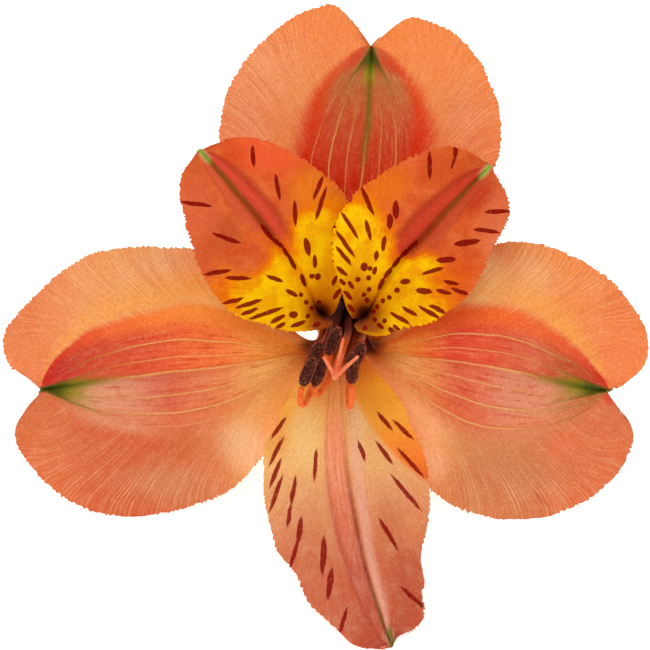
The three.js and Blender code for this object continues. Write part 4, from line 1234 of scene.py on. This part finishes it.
def paintLower(name, look, back=False):
    paint, w, finish, point, across, along, hair, cells = startTepal(name, back)
    reach, offset, length = signedAxis(w, point, look)
    away = w.absolute(across)

    colour = layPatches(w, ramp(w, reach, look["blade"]), point, look["patches"])
    band = w.times(w.fade(across, -0.29, -0.21), w.fade(across, 0.03, -0.04))
    colour = w.mix(w.times(band, w.fade(reach, 0.05, 0.30, 0.3, 0.9)), colour, ramp(w, reach, look["band"]))
    strands = w.noise(w.joined(w.times(along, 9), w.times(across, 32)), 1.0, 4.0, 0.6)
    central = w.times(w.fade(across, -0.36, -0.22), w.fade(across, 0.32, 0.18))
    colour = w.coat(colour, "F8C0A8", central, w.fade(reach, 0.8, 0.4, 0.25, 1.0),
                    w.fade(strands, 0.50, 0.68, 0, 0.5))
    colour = w.coat(colour, "D45A38", central, w.fade(strands, 0.48, 0.32, 0, 0.45))
    # painted shade in the two folds, the right one turning to its own olive toward the green tip
    foldShadeLeft = w.line(across, look["folds"][1][0], 0.05)
    foldShadeRight = w.fade(away, 0.055, 0.0)
    deeper = w.fade(reach, 0.2, 0.6, 0.12, 0.85)
    colour = w.coat(colour, "B8402A", foldShadeLeft, w.times(deeper, 0.7))
    foldColour = w.mix(w.fade(reach, 0.74, 0.92), tint("9A3E28"), tint("746420"))
    colour = w.mix(w.times(foldShadeRight, deeper), colour, foldColour)
    pale = w.times(w.fade(across, 0.03, 0.09), w.fade(across, 0.26, 0.12))
    colour = w.coat(colour, "F2B298", pale, w.fade(reach, 0.1, 0.4, 0.1, 0.6))
    colour = w.coat(colour, "C85434", w.fade(hair["Tone"], 0.52, 0.28, 0, 0.34))
    colour = w.coat(colour, "FFD4AC", hair["Mask"], 0.28)
    colour = w.coat(colour, "F8C8A4", w.fade(cells["Tone"], 0.45, 0.75, 0, 0.18))
    # painted light: the glow of light shining through the lapped tepals
    middle, size, turn, core = look["backlitOverlap"]
    backlitShare = patchMask(w, point, middle, size, turn, core)
    colour = w.mix(w.times(backlitShare, 0.92), colour, ramp(w, reach, look["backlitOverlapColours"]))
    streaks = streakMask(w, point, look["streaks"], 0.6, 0.9)
    colour = w.coat(colour, skin["lowerStreakRed"], streaks, 0.38 if back else 0.95)
    colour = tipStripe(w, colour, reach, offset, length, 2.6, 0.36, "66721C")
    if back:
        colour = layBack(w, colour, "ECA684", away, 0.08, "7E8A3A", 0.6)
    # painted shade of the tube over the claws' own dark brown
    colour = w.coat(colour, "3A1408", throatBrownAndShadeMask(w, point))
    height = w.times(hair["Height"], w.fade(away, 0.05, 0.5))
    finishSkin(w, finish, colour, point, height)
    return paint


def ownPiece(piece, node):
    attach(piece, "root")
    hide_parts(node)


def makeTepals():
    kinds = {
        "outer": (outerRelief, paintOuter, outerLooks, "outer_tepal"),
        "inner": (innerRelief, paintInner, innerLooks, "inner_tepal"),
        "lower": (lowerRelief, paintLower, {"tepal_inner_lower": lowerLook}, "lower_tepal"),
    }
    for seed, (name, plan) in enumerate(tepals.items()):
        kind = "lower" if "lower" in name else name.split("_")[1]
        relief, paintTepal, looks, slot = kinds[kind]
        mesh = growTepal(name, plan, looks[name], relief, seed * 7.3)
        mesh.materials.append(paintTepal(name, looks[name]))
        mesh.materials.append(paintTepal(name, looks[name], True))
        piece = thicken(name + "_blade", mesh)
        ownPiece(piece, name)


makeTepals()
print("tepals grown")


# Stamens and style

stamens = [
    # where the filament stands around the throat, its anther's foot and tip, and its way there
    {"angle": 125, "foot": (-1.9, -2.1, 7.5), "tip": (-0.7, 0.9, 9.4),
     "path": [(-1.2, 0.9, -8), (-1.5, -0.5, -3), (-1.7, -2.3, 1.5), (-2, -3.1, 5), (-1.95, -2.6, 6.8)]},
    {"angle": 180, "foot": (-3.75, -3.1, 5), "tip": (-2.7, -0.7, 6.8),
     "path": [(-2, -0.2, -8), (-2.7, -1.6, -3), (-3.2, -3.2, 1.2), (-3.9, -4.2, 3.2), (-3.85, -3.7, 4.4)]},
    {"angle": 230, "foot": (-4.75, -5.6, 9.6), "tip": (-3.5, -2.5, 11.2),
     "path": [(-1.2, -0.95, -8), (-1.9, -2.7, -3), (-3.2, -4.9, 2.2), (-3.85, -6.2, 4.8), (-4.5, -7.6, 7),
              (-4.95, -7.55, 8.4), (-4.97, -6.6, 9.3)]},
    {"angle": 280, "foot": (-3.45, -5.6, 7.9), "tip": (-2.4, -2.6, 9.6),
     "path": [(-0.1, -1.1, -8), (-0.8, -3, -3), (-1.9, -5, 2.2), (-2.75, -6.3, 5.6), (-3.35, -6.5, 7.1)]},
    {"angle": 330, "foot": (0.75, -5.4, 9.7), "tip": (0.75, -1.9, 10.8),
     "path": [(1.1, -1, -8), (0.9, -2.6, -3), (0.5, -5.1, 2.4), (0.35, -7.4, 6), (0.6, -7.9, 8),
              (0.8, -6.7, 9.2)]},
    {"angle": 25, "foot": (0.95, -3.4, 6.1), "tip": (2, -0.8, 7.8),
     "path": [(2, 0, -8), (1.7, -0.9, -3), (1.3, -2.9, 1.6), (0.95, -4.2, 4.2), (0.85, -4, 5.3)]},
]
filament = {"radius": 0.40, "tipRadius": 0.34, "ring": 1.3, "sides": 20, "steps": 90, "gap": 0.15}
stemSkin = {
    "roughness": 0.6, "specular": 0.05, "speckle": 0.10,
    "subsurface": 0.15, "subsurfaceScale": 0.0008,
}
pollen = {"roughness": 0.85, "grains": 4.6, "crustDepth": 0.1, "crustStrength": 0.9}
anther = {
    "halfWidth": 0.78, "halfDepth": 0.62,  # mm
    "groove": 0.30,  # depth of the furrow between the two sacs, as a share
    "sideGroove": 0.10,
    "backGroove": 0.6,  # share of the furrow at the back
    "blunt": 1.35,  # how square its ends are
    "waist": 0.07,
    "seam": 0.42,  # height of the split edges, of half the depth
    "grain": 0.10,  # mm
    "detail": 6,
}
styleParts = {
    "radius": 0.45, "tipRadius": 0.38, "sides": 22, "steps": 110,
    "path": [(0.35, 0.4, -8), (0.15, -0.4, -3), (-0.45, -2.2, 2.2), (-0.95, -3.8, 7), (-1.1, -4.6, 11)],
    "tips": [(-2.4, -2.4, 12.2), (-0.2, -0.3, 12.2), (1.5, -2.3, 12.9)],
    "lobeRadius": 0.30, "lobeTipRadius": 0.16, "lobeBow": 0.25, "lobeSides": 14, "lobeSteps": 30,
    "lobeRoot": 0.04,  # how far each lobe starts behind the top, as a share of its length
    "knob": 1.12,  # radius of the joint of the lobes, in tip radii
}


def heading(direction, side):
    # a turn whose z follows the direction
    z = direction.normalized()
    x = (side - z * side.dot(z)).normalized()
    y = z.cross(x)
    return Matrix((x, y, z)).transposed().to_4x4()


def sweep(shape, points, radii, sides):
    # one closed stem: a ring of this many sides is drawn out along the points, at each with its own radius
    ring, last, side = None, None, Vector((1, 0, 0))
    rings = []
    for i, point in enumerate(points):
        ahead = points[min(i + 1, len(points) - 1)] - points[max(i - 1, 0)]
        turn = heading(ahead, side)
        side = turn.to_3x3() @ Vector((1, 0, 0))
        place = Matrix.Translation(point) @ turn @ Matrix.Scale(radii[i], 4)
        if ring is None:
            made = bmesh.ops.create_circle(shape, cap_ends=False, segments=sides, radius=1, matrix=place)
            verts = made["verts"]
            ring = list({edge for vert in verts for edge in vert.link_edges})
        else:
            made = bmesh.ops.extrude_edge_only(shape, edges=ring)["geom"]
            verts = [part for part in made if isinstance(part, bmesh.types.BMVert)]
            ring = [part for part in made if isinstance(part, bmesh.types.BMEdge)]
            bmesh.ops.transform(shape, matrix=place @ last.inverted(), verts=verts)
        last = place
        rings.append(verts)
        if i in (0, len(points) - 1):
            bmesh.ops.contextual_create(shape, geom=ring)
    return rings


def stemLine(points, steps):
    curve = [Vector(p) for p in points]
    return [spline(curve, i / steps) for i in range(steps + 1)]


def finishPiece(name, shape, paint, node, toFloor=False):
    bmesh.ops.recalc_face_normals(shape, faces=shape.faces)
    smoothFaces(shape)
    bmesh.ops.transform(shape, matrix=toModel, verts=shape.verts)
    if toFloor:
        for vert in shape.verts:
            vert.co.z = max(vert.co.z, 0)
    mesh = bpy.data.meshes.new(name)
    shape.to_mesh(mesh)
    shape.free()
    mesh.materials.append(paint)
    piece = addToScene(name, mesh)
    ownPiece(piece, node)


def roundedRadii(points, radius, tipRadius):
    count = len(points) - 1
    radii = []
    for i in range(count + 1):
        body = radius + (tipRadius - radius) * i / count
        left = (points[-1] - points[i]).length
        close = min(left / tipRadius, 1)
        radii.append(max(body * math.sqrt(max(1 - (1 - close) ** 2, 0)), 0.05))
    return radii


def paintStem(name, low, high, foot):
    paint, w, finish = startPaint(name, stemSkin["roughness"])
    finish.inputs["Specular IOR Level"].default_value = stemSkin["specular"]
    point = w.bloomPoint()
    place = w.parts(point)
    cells = w.group(effects["cells"], Point=point)
    colour = w.mix(w.fade(cells["Tone"], 0.3, 0.7), tint(low), tint(high))
    colour = w.coat(colour, foot, w.fade(place["Z"], 5.0, 0.0))
    lines = w.noise(w.vector("MULTIPLY", point, (4.5, 4.5, 0.35)), 1.0, 2.0)
    colour = w.coat(colour, "F8B488", w.fade(lines, 0.45, 0.75, 0, 0.35))
    # deep in the throat they darken toward the top tepal: their own darker colour there, deepened by painted
    # shade under the upper tepals
    deep = w.fade(place["Z"], 6.5, 3.5)
    for start, end, code in ((-2.8, -1.0, "BC5420"), (-0.8, 0.8, "7E3A20"), (1.0, 2.6, "3A1A10")):
        colour = w.coat(colour, code, w.fade(place["Y"], start, end), deep)
    finishSkin(w, finish, colour, point, lines, skin["reliefDepth"], stemSkin["speckle"],
               skin["innerSaturation"])
    finish.inputs["Subsurface Weight"].default_value = stemSkin["subsurface"]
    finish.inputs["Subsurface Scale"].default_value = stemSkin["subsurfaceScale"]
    return paint


def makeFilaments():
    paint = paintStem("filament_skin", "E05A28", "EE7E3C", "D8641E")
    foot = bloom["receptacle"] + bloom["seatGap"]
    for number, stamen in enumerate(stamens, 1):
        toFoot = (Vector(stamen["foot"]) - Vector(stamen["tip"])).normalized()
        points = [around(filament["ring"], stamen["angle"], foot),
                  around(filament["ring"], stamen["angle"], foot + bloom["stemRise"]),
                  *stamen["path"], Vector(stamen["foot"]) + toFoot * filament["gap"]]
        line = stemLine(points, filament["steps"])
        shape = bmesh.new()
        radii = roundedRadii(line, filament["radius"], filament["tipRadius"])
        sweep(shape, line, radii, filament["sides"])
        finishPiece(f"filament_{number}_stem", shape, paint, f"filament_{number}")


def paintPollen():
    # dark crusted grains with paler walls between them, and the sacs' own reddish rim along each seam
    paint, w, finish = startPaint("pollen", pollen["roughness"])
    point = w.bloomPoint()
    seam = w.attribute("seam")
    wander = w.noise(point, 3.0, out="Color")
    moved = w.vector("ADD", point, w.vector("MULTIPLY", wander, (0.35, 0.35, 0.35)))
    grain = w.place("TexVoronoi", feature="DISTANCE_TO_EDGE")
    w.feed(grain.inputs["Vector"], moved)
    grain.inputs["Scale"].default_value = pollen["grains"]
    walls = w.fade(grain.outputs["Distance"], 0.12, 0.0)
    tone = w.noise(point, 2.4, 4.0, 0.7)
    colour = w.mix(w.fade(tone, 0.35, 0.65), tint("30140F"), tint("5A2A20"))
    colour = w.coat(colour, "A2543C", walls, w.fade(tone, 0.30, 0.62, 0.15, 0.85))
    # painted sheen: grey-lilac highlights on some of the pollen
    paintedSheen = w.noise(w.vector("ADD", point, (7, 3, 1)), 1.5, 3.0, 0.6)
    colour = w.coat(colour, "9A7C70", w.fade(paintedSheen, 0.56, 0.72, 0, 0.55))
    colour = w.coat(colour, "C85C44", seam, 0.9)
    w.feed(finish.inputs["Base Color"], colour)
    w.bump(finish, w.fade(grain.outputs["Distance"], 0.0, 0.3), pollen["crustDepth"],
           pollen["crustStrength"])
    return paint


def makeAnthers():
    # two pollen sacs side by side, split open along their seams and crusted with pollen
    paint = paintPollen()
    for number, stamen in enumerate(stamens, 1):
        foot, tip = Vector(stamen["foot"]), Vector(stamen["tip"])
        length = (tip - foot).length
        shape = bmesh.new()
        bmesh.ops.create_icosphere(shape, subdivisions=anther["detail"], radius=1)
        seams = shape.verts.layers.float.new("seam")
        for vert in shape.verts:
            x, y, z = vert.co
            blunt = math.copysign(1 - (1 - abs(y)) ** anther["blunt"], y)
            face = 1 if z > 0 else anther["backGroove"]
            front = anther["groove"] * bump(x, 0.16) * face * min(abs(z) * 1.4, 1)
            sideGroove = anther["sideGroove"] * bump(z - 0.1, 0.13) * min(abs(x) * 1.4, 1)
            ragged = 0.06 * noise.noise(Vector((blunt * 4, x * 3, number)))
            sides = bump(z - anther["seam"] + ragged, 0.09) * (abs(x) > 0.4)
            vert[seams] = max(sides, bump(abs(y) - 0.96, 0.04) * (y > 0))
            uneven = 0.05 * noise.noise(Vector((blunt * 2, number, 0)))
            waist = 1 - anther["waist"] * bump(blunt, 0.4) + uneven
            place = Vector((x * anther["halfWidth"] * waist * (1 - sideGroove), blunt * length / 2,
                            z * anther["halfDepth"] * waist * (1 - front)))
            crust = noise.noise(place * 5.5 + Vector((number * 9, 0, 0))) + 0.7 * noise.noise(place * 11)
            vert.co = place + vert.normal * anther["grain"] * crust * (1 - 0.6 * vert[seams])
        up = (tip - foot).normalized()
        side = up.cross(Vector((0, 0, 1))).normalized()
        turn = Matrix((side, up, side.cross(up))).transposed().to_4x4()
        bmesh.ops.transform(shape, matrix=Matrix.Translation((foot + tip) / 2) @ turn, verts=shape.verts)
        finishPiece(f"anther_{number}_sacs", shape, paint, f"anther_{number}")


def makeStyle():
    plan = styleParts
    foot = bloom["receptacle"] + bloom["seatGap"]
    x, y = bloom["throat"]
    line = stemLine([(x, y, foot), (x, y, foot + bloom["stemRise"]), *plan["path"]], plan["steps"])
    shape = bmesh.new()
    count = len(line) - 1
    radii = [plan["radius"] + (plan["tipRadius"] - plan["radius"]) * i / count for i in range(count + 1)]
    sweep(shape, line, radii, plan["sides"])
    top = Vector(plan["path"][-1])
    for end in plan["tips"]:
        bow = top.lerp(Vector(end), 0.5) - Vector((0, 0, plan["lobeBow"]))
        lobe = stemLine([top - (Vector(end) - top) * plan["lobeRoot"], bow, end], plan["lobeSteps"])
        radii = roundedRadii(lobe, plan["lobeRadius"], plan["lobeTipRadius"])
        sweep(shape, lobe, radii, plan["lobeSides"])
    knob = plan["tipRadius"] * plan["knob"]
    bmesh.ops.create_icosphere(shape, subdivisions=3, radius=knob, matrix=Matrix.Translation(top))
    paint = paintStem("style_skin", "E8643C", "F28A62", "D86A30")
    finishPiece("style_stem", shape, paint, "style")


makeFilaments()
makeAnthers()
makeStyle()
print("stamens and style set")


# Ovary and stalk: one growth

ovary = {"topRadius": 3.3, "radius": 3.7, "length": 7, "ribs": 6, "ribDepth": 0.5, "steps": 60}
stalk = {
    "radius": 1.25, "length": 44, "bend": 9, "ridges": 9, "ridgeDepth": 0.05, "steps": 170, "sides": 96,
    "flat": 0.18,  # how deep the spot is that it lies on
    "joined": 4,  # steps of its line that lie inside the ovary
    "unevenness": 0.05,
}
greenSkin = {"roughness": 0.45, "reliefDepth": 0.12}


def stalkLine():
    # in the bloom's frame: down through the ovary, then level along the surface to the cut end
    x, y = bloom["throat"]
    toBloom = bloomTurn.inverted()
    foot = bloomTurn @ Vector((x, y, bloom["receptacle"] - ovary["length"] + 1))
    turned = foot + bloomTurn.to_3x3() @ Vector((0, 0, -2))
    level = bloom["surface"] + stalk["radius"] - stalk["flat"]
    rest = [foot, turned, Vector((foot.x, turned.y + 0.45 * stalk["bend"], level + 0.35)),
            Vector((foot.x + 0.2, turned.y + stalk["bend"], level)),
            Vector((foot.x + 0.9, turned.y + 0.5 * (stalk["bend"] + stalk["length"]), level)),
            Vector((foot.x + 2.6, turned.y + stalk["length"], level))]
    return [toBloom @ p for p in rest]


def paintGreen():
    paint, w, finish = startPaint("green_stalk", greenSkin["roughness"])
    point = w.bloomPoint()
    rib, below = w.attribute("rib"), w.attribute("below")
    cells = w.group(effects["cells"], Point=point)
    colour = w.mix(w.fade(cells["Tone"], 0.3, 0.7), tint("6E8C30"), tint("8AA548"))
    colour = w.coat(colour, "A2B65C", w.fade(rib, 0.2, 0.9), 0.55)
    colour = w.coat(colour, "4C6A22", w.fade(rib, 0.35, 0.0, 0, 0.5))
    blush = w.noise(w.vector("MULTIPLY", point, (0.5, 0.5, 0.2)), 1.0, 3.0)
    colour = w.coat(colour, "9C6A3C", w.fade(blush, 0.55, 0.8, 0, 0.35))
    colour = w.coat(colour, "C5CF8E", w.fade(below, 0.995, 1.0))
    # painted shade: the ovary's top darkens deep in the tube
    colour = w.coat(colour, "2A120C", w.fade(w.parts(point)["Z"], bloom["receptacle"] - 0.9,
                                             bloom["receptacle"] - 0.2))
    lines = w.noise(w.joined(w.times(w.attribute("turn"), 60), w.times(below, 9)), 1.0, 3.0)
    colour = w.coat(colour, "B4C47A", w.fade(lines, 0.5, 0.75, 0, 0.3))
    finishSkin(w, finish, colour, point, lines, greenSkin["reliefDepth"])
    return paint


def makeStalk():
    x, y = bloom["throat"]
    top = bloom["receptacle"]
    line, radii, ribbed = [], [], []
    profile = [Vector((1.2, 0.26, 0)), Vector((2.6, 0.14, 0)), Vector((ovary["topRadius"], 0, 0)),
               Vector((ovary["radius"], -0.3 * ovary["length"], 0)),
               Vector((0.72 * ovary["radius"], -0.72 * ovary["length"], 0)),
               Vector((stalk["radius"], -ovary["length"], 0))]
    steps = ovary["steps"]
    for i in range(steps + 1):
        p = spline(profile, i / steps)
        line.append(Vector((x, y, top + p.y)))
        radii.append(p.x)
        ribbed.append(1 - smooth((i / steps - 0.55) / 0.45))
    for i, p in enumerate(stemLine(stalkLine(), stalk["steps"])):
        if i > stalk["joined"]:
            line.append(p)
            uneven = stalk["unevenness"] * noise.noise(Vector((i * 0.07, 3, 0)))
            radii.append(stalk["radius"] * (1 + uneven))
            ribbed.append(0)
    shape = bmesh.new()
    layers = shape.verts.layers.float
    ribLayer, belowLayer, turnLayer = [layers.new(key) for key in ("rib", "below", "turn")]
    rings = sweep(shape, line, radii, stalk["sides"])
    count = len(rings) - 1
    for i, verts in enumerate(rings):
        middle = line[i]
        for k, vert in enumerate(sorted(verts, key=lambda v: v.index)):
            turn = 2 * math.pi * k / len(verts)
            rib = 0.5 + 0.5 * math.cos(ovary["ribs"] * turn)
            ridge = 0.5 + 0.5 * math.cos(stalk["ridges"] * turn)
            reach = (ribbed[i] * ovary["ribDepth"] * (rib ** 0.6 - 0.5)
                     + (1 - ribbed[i]) * stalk["ridgeDepth"] * (ridge - 0.5))
            vert.co += (vert.co - middle).normalized() * reach
            vert[ribLayer] = ribbed[i] * rib + (1 - ribbed[i]) * (0.3 + 0.4 * ridge)
            vert[belowLayer] = i / count
            vert[turnLayer] = k / len(verts)
    finishPiece("ovary_stalk_body", shape, paintGreen(), "ovary_stalk", toFloor=True)


makeStalk()
print("ovary and stalk set")

print("finished")
